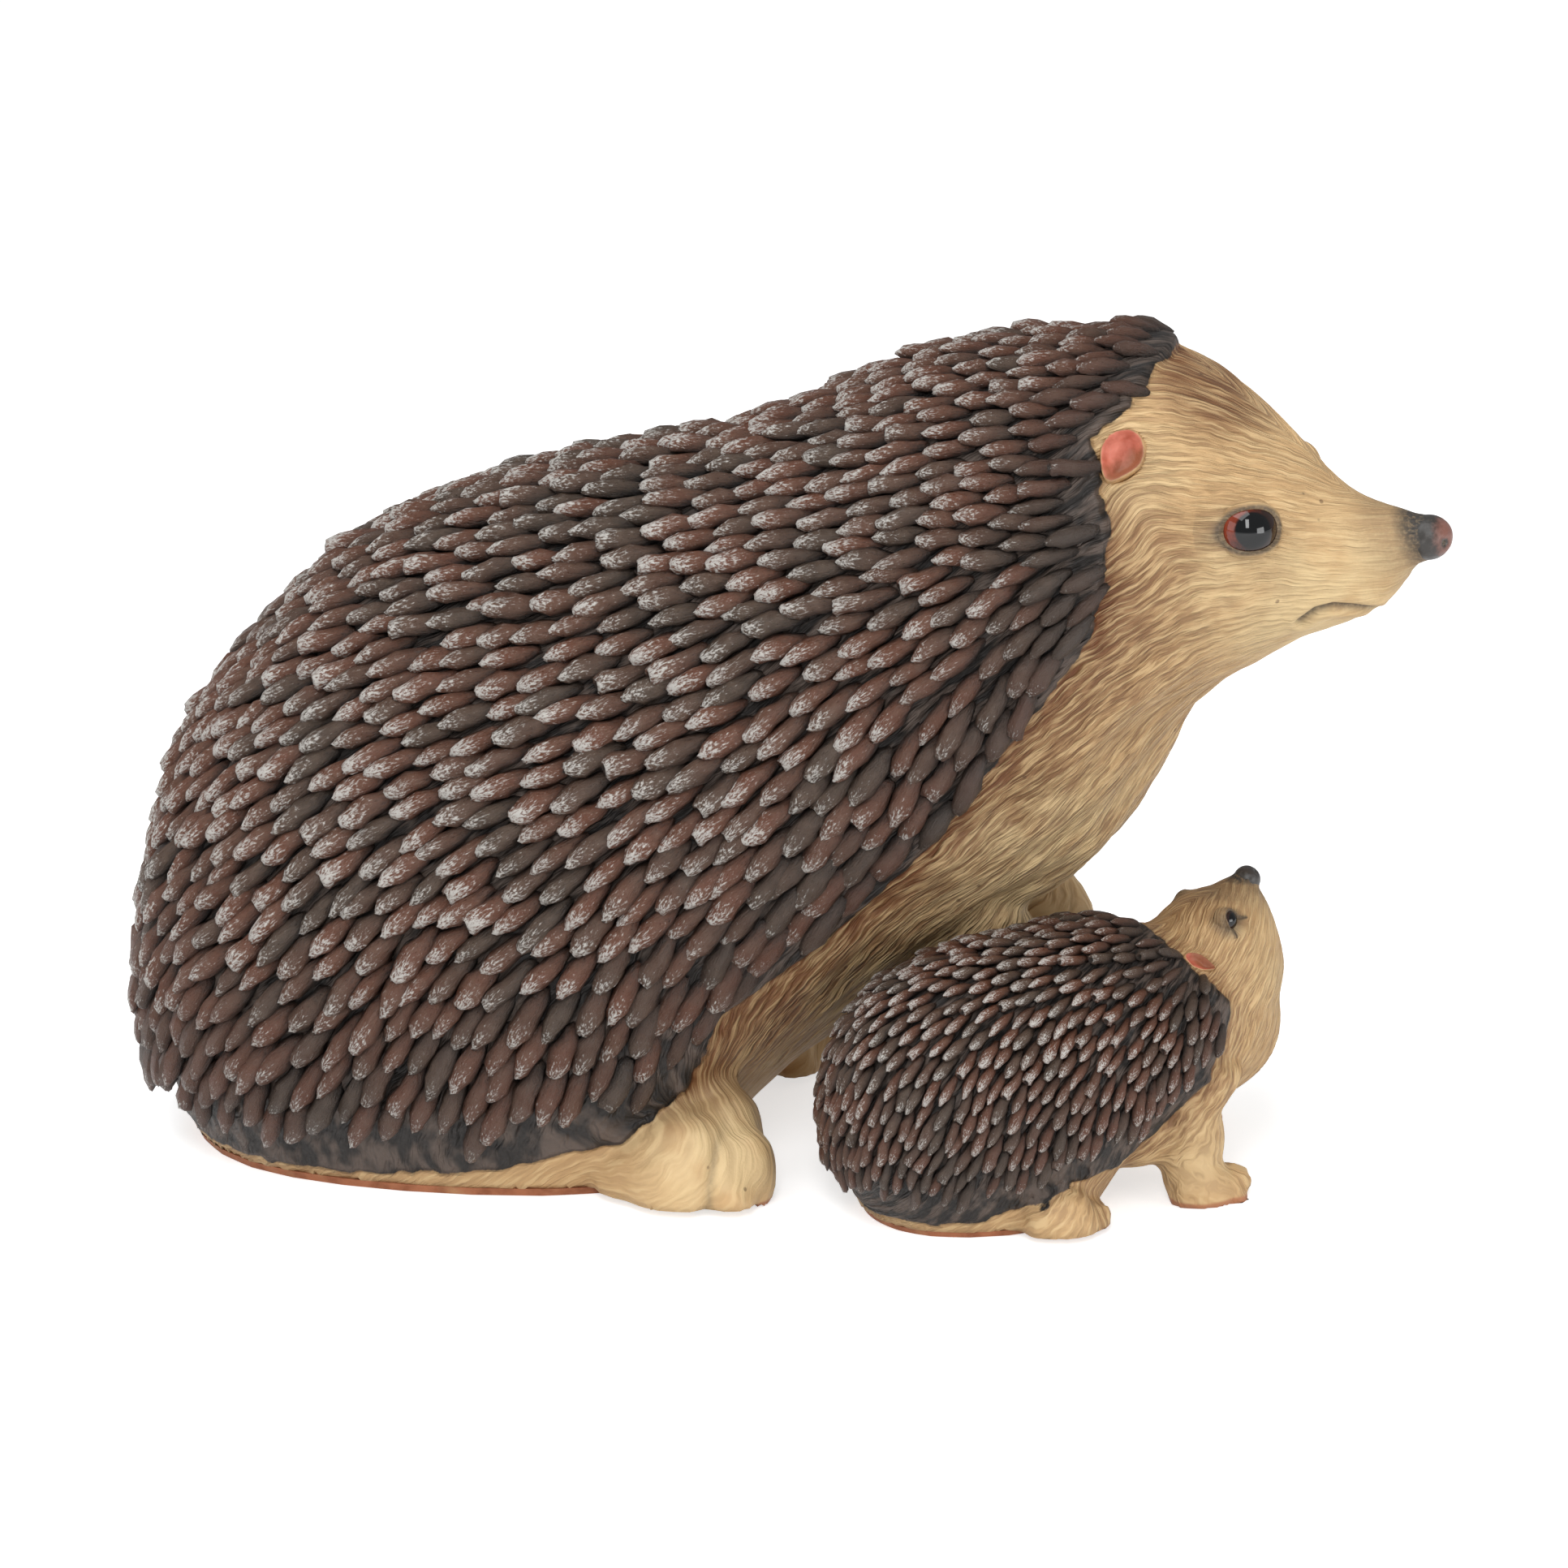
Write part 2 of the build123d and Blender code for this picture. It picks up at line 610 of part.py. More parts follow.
with BuildPart() as baby_body:
    with Locations(baby_stand):
        add(above(baby_trunk, baby_plate_thickness))
with BuildPart() as baby_base_plate:
    with Locations(baby_stand):
        add(slab(baby_trunk, baby_plate_thickness))
with BuildPart() as baby_head:
    with Locations(baby_stand):
        add(trimmed(baby_front, baby_trunk, baby_snout.part, *baby_eyes))
with BuildPart() as baby_quill_coat:
    with Locations(baby_stand):
        add(baby_coat)
with BuildPart() as baby_nose:
    with Locations(baby_stand):
        add(baby_snout.part)
with BuildPart() as baby_left_eye:
    with Locations(baby_stand):
        add(baby_eyes[0])
with BuildPart() as baby_right_eye:
    with Locations(baby_stand):
        add(baby_eyes[1])
with BuildPart() as baby_left_ear:
    with Locations(baby_stand):
        add(baby_ears[0])
with BuildPart() as baby_right_ear:
    with Locations(baby_stand):
        add(baby_ears[1])
with BuildPart() as baby_left_foreleg:
    with Locations(baby_stand):
        add(baby_forelegs[0])
with BuildPart() as baby_right_foreleg:
    with Locations(baby_stand):
        add(baby_forelegs[1])
with BuildPart() as baby_left_hind_foot:
    with Locations(baby_stand):
        add(baby_hind_feet[0])
with BuildPart() as baby_right_hind_foot:
    with Locations(baby_stand):
        add(baby_hind_feet[1])

# Her right foreleg is set close against the baby, whose side is bonded to it
with BuildPart() as mother_right_foreleg:
    add(trimmed(foreleg(mother_right_foreleg_shares, *mother_sizes, -1, mother_fore_toe_radius,
                        mother_fore_toe_spread),
                mother_trunk, mother_front, baby_body.part, baby_base_plate.part, baby_quill_coat.part,
                baby_left_hind_foot.part, baby_left_foreleg.part))

pieces = {
    "mother_body": mother_body,
    "mother_base_plate": mother_base_plate,
    "mother_quill_coat": mother_quill_coat,
    "mother_head": mother_head,
    "mother_nose": mother_nose,
    "mother_left_eye": mother_left_eye,
    "mother_right_eye": mother_right_eye,
    "mother_left_ear": mother_left_ear,
    "mother_right_ear": mother_right_ear,
    "mother_left_foreleg": mother_left_foreleg,
    "mother_right_foreleg": mother_right_foreleg,
    "mother_left_hind_foot": mother_left_hind_foot,
    "mother_right_hind_foot": mother_right_hind_foot,
    "baby_body": baby_body,
    "baby_base_plate": baby_base_plate,
    "baby_quill_coat": baby_quill_coat,
    "baby_head": baby_head,
    "baby_nose": baby_nose,
    "baby_left_eye": baby_left_eye,
    "baby_right_eye": baby_right_eye,
    "baby_left_ear": baby_left_ear,
    "baby_right_ear": baby_right_ear,
    "baby_left_foreleg": baby_left_foreleg,
    "baby_right_foreleg": baby_right_foreleg,
    "baby_left_hind_foot": baby_left_hind_foot,
    "baby_right_hind_foot": baby_right_hind_foot,
}
for label, piece in pieces.items():
    piece.part.label = label
    export_step(piece.part, f"parts/{label}.step")
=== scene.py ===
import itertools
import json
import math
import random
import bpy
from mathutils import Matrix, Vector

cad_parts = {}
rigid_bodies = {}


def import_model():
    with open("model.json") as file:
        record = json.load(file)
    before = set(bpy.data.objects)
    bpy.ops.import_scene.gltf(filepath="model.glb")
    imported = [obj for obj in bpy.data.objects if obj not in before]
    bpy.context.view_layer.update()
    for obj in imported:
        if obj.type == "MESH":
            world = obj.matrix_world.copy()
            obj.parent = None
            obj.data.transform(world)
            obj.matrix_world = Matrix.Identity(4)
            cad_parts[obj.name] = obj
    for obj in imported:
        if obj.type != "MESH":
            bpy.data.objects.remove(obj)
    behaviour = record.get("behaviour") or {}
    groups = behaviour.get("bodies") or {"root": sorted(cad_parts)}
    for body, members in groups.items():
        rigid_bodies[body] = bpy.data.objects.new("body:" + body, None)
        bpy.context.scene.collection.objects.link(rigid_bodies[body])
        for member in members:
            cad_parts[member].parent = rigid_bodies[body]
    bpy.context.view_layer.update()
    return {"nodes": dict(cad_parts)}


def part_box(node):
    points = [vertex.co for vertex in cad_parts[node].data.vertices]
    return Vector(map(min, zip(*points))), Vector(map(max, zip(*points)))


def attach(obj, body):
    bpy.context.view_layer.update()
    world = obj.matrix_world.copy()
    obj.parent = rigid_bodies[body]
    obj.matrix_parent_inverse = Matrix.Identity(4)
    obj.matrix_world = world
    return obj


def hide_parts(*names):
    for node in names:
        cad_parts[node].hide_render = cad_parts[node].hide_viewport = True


bl_info = {
    "name": "Hedgehog ornament",
    "version": (1, 0, 0),
    "blender": (4, 5, 0),
    "location": "View3D > Sidebar > Ornament",
    "description": "Sculpts and paints a cast resin hedgehog and her baby round their CAD model",
    "category": "Object",
}

from functools import partial

import bmesh
import bpy
import numpy as np
from bpy.props import FloatProperty, FloatVectorProperty, IntProperty, PointerProperty
from bpy.types import Operator, Panel, PropertyGroup
from mathutils import Matrix, Vector
from mathutils.bvhtree import BVHTree

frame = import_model()

# Tables are in millimetres, and meshes are finished in metres
MM = 0.001

# The mother's coat border in side view, from the crown down to the rump's underside
MOTHER_BORDER = [
    (160, 189), (149, 171.5), (134.4, 156.6), (139, 138.2), (136, 119), (122, 99.8),
    (103, 73.5), (82, 53.4), (62.4, 39.4), (55, 23), (43, 12.5),
    (14, 5.6), (-15, 3.4),
]
BABY_BORDER = [
    (30, 63), (28.5, 54), (33, 47.4), (39.5, 40.8), (36.5, 32.4), (30, 24),
    (20, 15.2), (12, 11.2), (0, 10.2), (-8, 7), (-20, 3),
]

# How the quills lie in side view: along, height, degrees below level as they point back, and their
# size as a share of the largest
MOTHER_QUILL_GUIDES = [
    (147, 172, 8, 0.72), (125, 166, 12, 0.80), (75, 146, 14, 0.95),
    (25, 132, 17, 1), (-8, 120, 26, 1), (-33, 103, 38, 1),
    (-54, 78, 50, 0.95), (-62, 52, 58, 0.95), (25, 95, 24, 1),
    (58, 103, 27, 1), (25, 63, 40, 1), (58, 72, 46, 1),
    (74, 88, 42, 1), (92, 88, 52, 1), (108, 97, 62, 0.95),
    (124, 112, 68, 0.9), (131, 105, 82, 0.9), (116, 138, 12, 0.85),
    (131, 144, 10, 0.75), (128, 122, 46, 0.8), (92, 132, 12, 0.95),
    (108, 118, 34, 0.9), (66, 47, 58, 1), (50, 38, 68, 1),
    (25, 32, 62, 1), (8, 24, 64, 1), (25, 10, 82, 0.95),
    (-8, 8, 80, 0.95), (-42, 16, 76, 0.9), (-50, 32, 66, 0.95),
    (-25, 42, 46, 1), (-40, 60, 42, 1),
]
BABY_QUILL_GUIDES = [
    (26, 55, 15, 0.95), (12, 58, 18, 1), (-10, 55, 26, 1),
    (-28, 46, 44, 1), (-38, 30, 62, 1), (-36, 14, 72, 0.9),
    (-20, 26, 58, 1), (0, 34, 48, 1), (0, 18, 66, 1),
    (20, 40, 40, 1), (32, 40, 56, 0.95), (34, 32, 74, 0.95),
    (20, 24, 66, 1), (-10, 8, 76, 0.9), (10, 13, 72, 0.9),
]

# How the carved fur lies, in the same way, with the depth of its strands as a share of the deepest
MOTHER_FUR_GUIDES = [
    (194, 136, -14, 0.25), (184, 138, -20, 0.45), (188, 128, 12, 0.3),
    (180, 120, 22, 0.3), (172, 145, -38, 0.7), (160, 152, -42, 0.9),
    (150, 160, -40, 1), (146, 168, -26, 0.9), (158, 140, -8, 0.8),
    (152, 148, -30, 0.9), (163, 128, 34, 0.6), (166, 112, 38, 0.6),
    (150, 126, 56, 1), (142, 138, 70, 1), (150, 106, 56, 1),
    (140, 112, 66, 1.3), (134, 92, 62, 1.3), (120, 86, 58, 1.4),
    (130, 72, 62, 1.4), (110, 70, 56, 1.4), (95, 56, 54, 1.3),
    (82, 42, 60, 1.2), (66, 32, 74, 0.9), (60, 20, 78, 0.3),
    (60, 8, 30, 0.2), (125, 40, 84, 0.6), (115, 25, 86, 0.5),
    (135, 8, 20, 0.2), (40, 8, 10, 0.3),
]
BABY_FUR_GUIDES = [
    (50, 60, 40, 0.5), (40, 58, 4, 0.8), (32, 55, -6, 0.9),
    (44, 50, 44, 0.8), (54, 50, 70, 0.6), (56, 38, 86, 0.9),
    (46, 34, 78, 1), (40, 22, 68, 1.1), (33, 10, 84, 0.7),
    (20, 12, 50, 1), (5, 6, 40, 0.8), (-20, 2, 30, 0.4),
]

# The middle of the mother's back and face as seen from above: along, then aside
MOTHER_MIDDLE = ([110, 122, 150, 166, 182, 200], [0, -0.7, -4.5, -7.5, -10.5, -13.3])

# The mother's mouth in side view, from the corner to the front
MOTHER_MOUTH = [(175.2, 119.6), (178.4, 122.2), (181.6, 123), (185.4, 122.4), (189.6, 121.2)]

# Painted tints on the skin: along, aside, height, reach and strength
MOTHER_SOOT = [
    (199.5, -13.7, 138, 12, 1), (197.5, -13.5, 139.5, 19, 0.42), (163, -29, 139.5, 9, 0.22),
    (59.5, -52, 3, 3.2, 0.7), (68.5, -44, 3, 2.6, 0.5),
]
MOTHER_PALE_AND_PAINTED_LIGHT = [
    (178, -20, 122, 26, 1), (168, -28, 126, 22, 0.7), (60, -46, 10, 20, 0.9),
    (60, 46, 10, 20, 0.9), (124, -22, 64, 34, 0.9), (140, -30, 150, 16, 0.5),
    # The last two spots, on the belly above the baby and on the far foreleg, are painted light: they
    # brighten places that lie in shade
    (104, -12, 36, 34, 1), (125, 20, 24, 40, 1),
]
MOTHER_WASH = [
    (156, -12, 165, 20, 0.8), (150, -9, 174, 12, 1), (71, -38, 36, 20, 0.85),
    (72, 0, 28, 26, 0.6), (104, -28, 62, 30, 0.2),
    (142, -30, 100, 20, 0.2), (70, 38, 34, 24, 0.85), (104, 28, 62, 30, 0.45),
]
BABY_SOOT = [
    (52, 0, 61.5, 6, 1), (50, 0, 60, 12, 0.45), (43.5, -9, 54.6, 5, 0.75),
    (43.5, 9, 54.6, 5, 0.75), (44.2, -17.6, 1.6, 1.8, 0.7), (43.2, -20.8, 1.6, 1.6, 0.7),
    (44.2, 17.6, 1.6, 1.8, 0.7), (43.2, 20.8, 1.6, 1.6, 0.7), (8.6, -21.6, 1.6, 1.7, 0.6),
]
BABY_PALE = [(54, -4, 44, 18, 0.6), (32, -18, 10, 12, 0.6), (32, 18, 10, 12, 0.6)]
BABY_WASH = [
    (36, 0, 60, 15, 0.5), (46, 0, 56, 9, 0.35), (10, -22, 8, 16, 0.5),
    (40, 0, 30, 60, 0.25),
]

# Rounded forms added to the mother's hind feet on both sides: along, aside, height, radii and turn
MOTHER_LUMPS = [
    (54, 50, 4, (10, 7, 8.5), 0.12), (68, 43, 6.5, (5.8, 6.5, 9), 0.2),
    (62, 36, 12, (8, 8, 10), 0),
]

# Rounded forms added to the baby on both sides: along, aside, height and radii
BABY_LUMPS = [
    (40.2, 20.4, 2.9, (3.4, 1.8, 3)), (41, 17.6, 3, (3.6, 1.8, 3.2)),
    (40.2, 14.8, 2.9, (3.2, 1.8, 3)), (5.5, 25, 2.6, (3.6, 1.9, 2.9)),
    (6, 21.6, 2.6, (3.6, 1.9, 2.9)), (31, 17, 13, (7.2, 5.6, 13.5)),
    (22, 12, 16, (14, 8, 9)), (31.6, 17.4, 5.2, (6.9, 5.5, 5.6)),
]

# The CAD nodes that a skin replaces, and those that only fill it while it is cast
SKIN_PARTS = ("body", "head", "left_foreleg", "right_foreleg", "left_hind_foot", "right_hind_foot")
FILLING_PARTS = ("base_plate", "left_eye", "right_eye", "nose")

# Where the baby stands in the mother's line, and how far it is turned from it
BABY_PLACE = (120.8, -31.7)
BABY_HEADING = math.radians(35)

# Steps that settle the strands' coordinates, and rounds that spread the quills evenly
UNROLLING_STEPS = 700
SPREADING_ROUNDS = 14

# Gaps between quills, as shares of their spacing: the least at first, and how far they push each other
FIRST_GAP = 0.80
PUSHED_GAP = 1.12
PUSH = 0.16

# Rings of a quill from its root to its tip: share of its length and half width
PLAIN_QUILL = [(0.0, 0.20), (0.12, 0.33), (0.30, 0.44), (0.50, 0.50), (0.70, 0.45), (0.86, 0.32),
               (0.95, 0.18), (1.0, 0.06)]
BLUNT_QUILL = [(0.0, 0.20), (0.12, 0.33), (0.30, 0.44), (0.52, 0.50), (0.74, 0.47), (0.90, 0.36),
               (0.97, 0.25), (1.0, 0.12)]
CHIPPED_QUILL = [(0.0, 0.20), (0.12, 0.34), (0.30, 0.45), (0.55, 0.50), (0.78, 0.48), (0.94, 0.41),
                 (0.96, 0.30), (0.86, 0.12)]
QUILL_FORMS = [PLAIN_QUILL] * 3 + [BLUNT_QUILL] * 3 + [PLAIN_QUILL, CHIPPED_QUILL]
QUILL_SIDES = 8

# Index of refraction of the varnish on skin and quills
VARNISH = 1.49


def paint(code):
    """A colour written as an sRGB hex code, in Blender's linear values"""
    shares = [int(code[place:place + 2], 16) / 255 for place in (1, 3, 5)]
    return [share / 12.92 if share <= 0.04045 else ((share + 0.055) / 1.055) ** 2.4
            for share in shares]


length_property = partial(FloatProperty, unit="LENGTH")
colour_property = partial(FloatVectorProperty, subtype="COLOR")


class OrnamentSizes(PropertyGroup):
    """Sizes of the quills and the carving"""
    mother_quill_length: length_property(name="Mother's quill length", default=0.0140,
                                         description="Length of her largest quills")
    mother_quill_width: length_property(name="Mother's quill width", default=0.0049,
                                        description="Width of her largest quills")
    mother_quill_rows: length_property(name="Mother's row spacing", default=0.0091,
                                       description="From one quill to the next behind it")
    mother_quill_gap: length_property(name="Mother's quill spacing", default=0.0043,
                                      description="From one quill to the next beside it")
    baby_quill_length: length_property(name="Baby's quill length", default=0.0080,
                                       description="Length of the baby's largest quills")
    baby_quill_width: length_property(name="Baby's quill width", default=0.0025,
                                      description="Width of the baby's largest quills")
    baby_quill_rows: length_property(name="Baby's row spacing", default=0.0054,
                                     description="From one quill to the next behind it")
    baby_quill_gap: length_property(name="Baby's quill spacing", default=0.0025,
                                    description="From one quill to the next beside it")
    quill_lean: FloatProperty(name="Quill lean", default=math.radians(16), subtype="ANGLE",
                              description="How far the quills stand off the coat")
    strand_width: length_property(name="Fur strand width", default=0.0007,
                                  description="Width of one carved strand of fur")
    strand_depth: length_property(name="Fur strand depth", default=0.0004,
                                  description="Depth of the carving between strands")
    chance: IntProperty(name="Seed", default=7, description="Starts everything that varies at random")


class OrnamentPaints(PropertyGroup):
    """Colours of the paint"""
    cream: colour_property(name="Cream", default=paint("#d2ad7c"), description="Face, chest and feet")
    pale_cream: colour_property(name="Pale cream", default=paint("#e3c796"),
                                description="Muzzle, throat and the tops of the feet")
    brown_wash: colour_property(name="Brown wash", default=paint("#693a16"),
                                description="Thin paint in the grooves and beside the quills")
    soot: colour_property(name="Soot", default=paint("#35322f"),
                          description="Black that fades out round the nose and the eyes")
    quill_brown: colour_property(name="Quill brown", default=paint("#48372a"),
                                 description="Main colour of the quills")
    quill_red: colour_property(name="Quill red brown", default=paint("#683b25"),
                               description="Warmer colour of some quills")
    # Dark paint left between the quills, also used as painted shade on their roots and on their sides that
    # face the skin
    quill_dark_and_shade: colour_property(name="Quill dark", default=paint("#17110d"),
                                description="Paint left between the quills")
    silver: colour_property(name="Silver", default=paint("#d2cfc9"),
                            description="Dry-brushed paint on the tips")
    bare_resin: colour_property(name="Red brown edge", default=paint("#b0704d"),
                                description="Rim of the underside")


# Usual kinds of node: their settings, the sockets that take values in order, and the output used.
# The scale of noise is one over the size of its blotches in metres
USUAL_NODES = {
    "mix": ("ShaderNodeMix", {"data_type": "RGBA"}, (0, 6, 7), 2),
    "smooth": ("ShaderNodeMapRange", {"interpolation_type": "SMOOTHSTEP"}, (0, 1, 2, 3, 4), 0),
    "plus": ("ShaderNodeMath", {"operation": "ADD"}, (0, 1), 0),
    "minus": ("ShaderNodeMath", {"operation": "SUBTRACT"}, (0, 1), 0),
    "times": ("ShaderNodeMath", {"operation": "MULTIPLY"}, (0, 1), 0),
    "most": ("ShaderNodeMath", {"operation": "MAXIMUM"}, (0, 1), 0),
    "moved": ("ShaderNodeVectorMath", {"operation": "ADD"}, (0, 1), 0),
    "stretched": ("ShaderNodeVectorMath", {"operation": "MULTIPLY"}, (0, 1), 0),
    "scaled": ("ShaderNodeVectorMath", {"operation": "SCALE"}, (0, "Scale"), 0),
    "carried": ("ShaderNodeAttribute", {}, (), "Fac"),
    "noise": ("ShaderNodeTexNoise", {}, ("Vector", "Scale", "Detail", "Roughness"), "Fac"),
    "bump": ("ShaderNodeBump", {}, ("Height", "Distance", "Strength"), "Normal"),
    "named": ("GeometryNodeInputNamedAttribute", {"data_type": "FLOAT_VECTOR"}, ("Name",), "Attribute"),
    "varied": ("FunctionNodeRandomValue", {"data_type": "FLOAT_VECTOR"}, (0, 1, "Seed"), "Value"),
}


def add(tree, kind, *values, **settings):
    """Adds a node with its settings and its values or links: a usual kind takes values in order and
    gives its output, and any other takes a dictionary by socket and gives the node"""
    kind, usual, sockets, output = USUAL_NODES.get(kind, (kind, {}, None, None))
    item = tree.nodes.new(kind)
    for name, value in (usual | settings).items():
        setattr(item, name, value)
    links = dict(zip(sockets, values)) if sockets is not None else dict(*values)
    for socket, value in links.items():
        if isinstance(value, bpy.types.NodeSocket):
            tree.links.new(value, item.inputs[socket])
        else:
            item.inputs[socket].default_value = value
    return item if sockets is None else item.outputs[output]


def colour(values):
    """A colour property with its opacity"""
    return (*values, 1.0)


def new_material(name):
    """A material, the function that adds its nodes, and the object's own coordinates"""
    material = bpy.data.materials.new(name)
    material.use_nodes = True
    node = partial(add, material.node_tree)
    return material, node, node("ShaderNodeTexCoord").outputs["Object"]


def dressed(material, **inputs):
    """A material whose shader has values or links on its inputs, with _ for a space in their names"""
    shader = material.node_tree.nodes["Principled BSDF"]
    for name, value in inputs.items():
        socket = shader.inputs[name.replace("_", " ")]
        if isinstance(value, bpy.types.NodeSocket):
            material.node_tree.links.new(value, socket)
        else:
            socket.default_value = value
    return material


# Cream acrylic on cast polyester resin, with a thin brown wash that stays in the carved grooves:
# satin, slightly uneven, with pinholes and dark specks from the casting
def cast_skin_paint(name, paints, strand, depth):
    material, node, place = new_material(name)
    coat, wash, carving, pale, soot = (node("carried", attribute_name=carried)
                                       for carried in ("coat", "wash", "carving", "pale", "soot"))
    lie = node("ShaderNodeAttribute", attribute_name="lie").outputs["Vector"]
    blotches = node("noise", place, 1 / 0.009, 3.0)
    grit = node("noise", place, 1 / 0.0007)
    # The strands waver, are as wide as they are carved, and about eleven times as long
    waver = node("ShaderNodeTexNoise", {"Vector": place, "Scale": 1 / (strand * 9), "Detail": 1.0})
    bent = node("moved", lie, node("stretched", waver.outputs["Color"], (strand * 2.4, 0, 0)))
    fine = node("noise", node("stretched", bent, (1 / strand, 0.09 / strand, 0)), 1.0)
    tufts = node("noise", node("stretched", bent, (0.33 / strand, 0.045 / strand, 0)), 1.0, 1.0)
    fur = node("plus", node("times", node("smooth", fine, 0.30, 0.70), 0.74),
               node("times", node("smooth", tufts, 0.32, 0.68), 0.26))
    base = node("mix", node("times", pale, node("smooth", blotches, 0.25, 0.6)),
                colour(paints.cream), colour(paints.pale_cream))
    open_wash = node("times", wash, node("smooth", node("plus", fur, blotches), 1.5, 0.6, 0.6, 1.0))
    base = node("mix", open_wash, base, colour(paints.brown_wash))
    grooves = node("times", node("smooth", fur, 0.46, 0.12),
                   node("smooth", node("plus", wash, carving), 0.2, 2.1, 0.10, 0.62))
    base = node("mix", grooves, base, colour([share * 0.8 for share in paints.brown_wash]))
    lit = node("times", node("smooth", fur, 0.5, 0.85), node("smooth", wash, 0.0, 1.0, 0.42, 0.24))
    base = node("mix", lit, base, colour(paints.pale_cream))
    pores = node("ShaderNodeTexVoronoi", {"Vector": place, "Scale": 260.0}).outputs["Distance"]
    chosen = node("smooth", node("noise", place, 1 / 0.013, 1.0), 0.62, 0.66)
    specks = node("times", node("smooth", pores, 0.16, 0.09), chosen)
    base = node("mix", node("times", specks, 0.6), base, colour(paint("#5b3a24")))
    base = node("mix", node("times", soot, node("smooth", grit, 0.2, 0.6, 0.75, 1.0)), base,
                colour(paints.soot))
    height = node("ShaderNodeSeparateXYZ", {0: place}).outputs["Z"]
    rim = node("minus", height, node("times", blotches, 0.0012))
    base = node("mix", node("times", node("smooth", rim, 0.0010, 0.0002), 0.85), base,
                colour(paints.bare_resin))
    ribs = node("noise", node("stretched", lie, (0.32 / strand, 0.07 / strand, 0)), 1.0)
    backing = node("mix", node("smooth", ribs, 0.42, 0.62), colour(paints.quill_dark_and_shade),
                   colour(paint("#5a4d45")))
    ragged = node("plus", coat, node("times", node("minus", grit, 0.5), 0.5))
    base = node("mix", node("smooth", ragged, 0.35, 0.65), base, backing)
    relief = node("plus", node("times", fur, node("smooth", carving, 0.0, 1.4, 0.15, 1.0)),
                  node("times", grit, 0.08))
    relief = node("plus", relief, node("times", node("times", ribs, coat), 2.5))
    return dressed(material, IOR=VARNISH, Base_Color=base,
                   Roughness=node("smooth", grit, 0.2, 0.8, 0.52, 0.7),
                   Normal=node("bump", relief, depth * 2.5, 1.0))


# Dark brown acrylic on cast resin under silver dry-brushing: the brush misses the hollows, so the
# silver lies in broken streaks on the tips and crests, and the varnish gives small bright glints
def quill_paint(name, paints, grain_size):
    material, node, place = new_material(name)
    along, crest, tone, edge = (node("carried", attribute_name=carried)
                                for carried in ("along", "crest", "tone", "edge"))
    # Each quill's own coordinates, moved apart, so that the brush marks run along it
    own = node("ShaderNodeAttribute", attribute_name="lie").outputs["Vector"]
    own = node("moved", own, node("scaled", (61.0, 47.0, 83.0), tone))
    streaks = node("noise", own, 1 / 0.09, 5.0, 0.68)
    uneven = node("minus", streaks, 0.5)
    mottle = node("noise", place, 1 / (grain_size * 3), 3.0)
    patches = node("noise", place, 1 / 0.03)
    warm = node("plus", node("times", tone, 0.6), node("times", patches, 0.9))
    body = node("mix", node("smooth", warm, 0.42, 0.92), colour(paints.quill_brown),
                colour(paints.quill_red))
    body = node("mix", node("smooth", mottle, 0.35, 0.7, 0.0, 0.22), body, colour(paint("#7d6858")))
    # Painted shade over the dark paint between the quills: each quill turns near black towards its root,
    # which lies under the quills in front, and on its side that faces the skin
    hollow = node("plus", node("times", along, 0.85), node("times", crest, 0.45))
    hollow = node("plus", hollow, node("times", uneven, 0.9))
    body = node("mix", node("smooth", hollow, 1.02, 0.12), body, colour(paints.quill_dark_and_shade))
    body = node("mix", node("times", edge, 0.5), body, colour(paint("#38302b")))
    reach = node("plus", node("times", along, 0.95), node("times", crest, 0.34))
    reach = node("plus", reach, node("times", uneven, 2.3))
    reach = node("plus", reach, node("times", tone, 0.16))
    reach = node("minus", reach, node("times", edge, 0.34))
    body = node("mix", node("times", node("smooth", reach, 0.99, 1.38), 0.9), body, colour(paints.silver))
    return dressed(material, IOR=VARNISH, Base_Color=body,
                   Roughness=node("smooth", streaks, 0.3, 0.7, 0.26, 0.48),
                   Normal=node("bump", streaks, grain_size * 0.8, 0.9))


# Gloss enamel eye: a black pupil in a dark red-brown iris under clear varnish, so it mirrors lamps
def enamel_eye(name, iris, rim):
    material, node, place = new_material(name)
    gaze, glow = (node("carried", attribute_name=carried) for carried in ("gaze", "glow"))
    flecks = node("noise", place, 1 / 0.0008, 3.0)
    ring = node("mix", node("smooth", node("plus", glow, node("times", flecks, 0.4)), 0.62, 1.15),
                colour(paint("#25130d")), colour(iris))
    eye = node("mix", node("smooth", gaze, 0.68, 0.56), ring, colour(paint("#07080a")))
    eye = node("mix", node("smooth", gaze, 0.98, 1.12), eye, colour(rim))
    return dressed(material, IOR=1.5, Base_Color=eye, Roughness=0.06)


# Satin black acrylic on the nose, rubbed with red brown at its tip, with a leathery fine grain
def nose_paint(name, paints, tip):
    material, node, place = new_material(name)
    rubbed = node("carried", attribute_name="rubbed")
    grit = node("noise", place, 1 / 0.0009, 3.0)
    share = node("smooth", node("plus", rubbed, node("times", node("minus", grit, 0.5), 0.5)), 0.35, 0.85)
    base = node("mix", share, colour(paints.soot), colour(tip))
    base = node("mix", node("smooth", grit, 0.45, 0.8, 0.0, 0.25), base, colour(paint("#6f6b69")))
    return dressed(material, Base_Color=base, Roughness=node("smooth", grit, 0.3, 0.7, 0.36, 0.5),
                   Normal=node("bump", grit, 0.0002, 0.6))
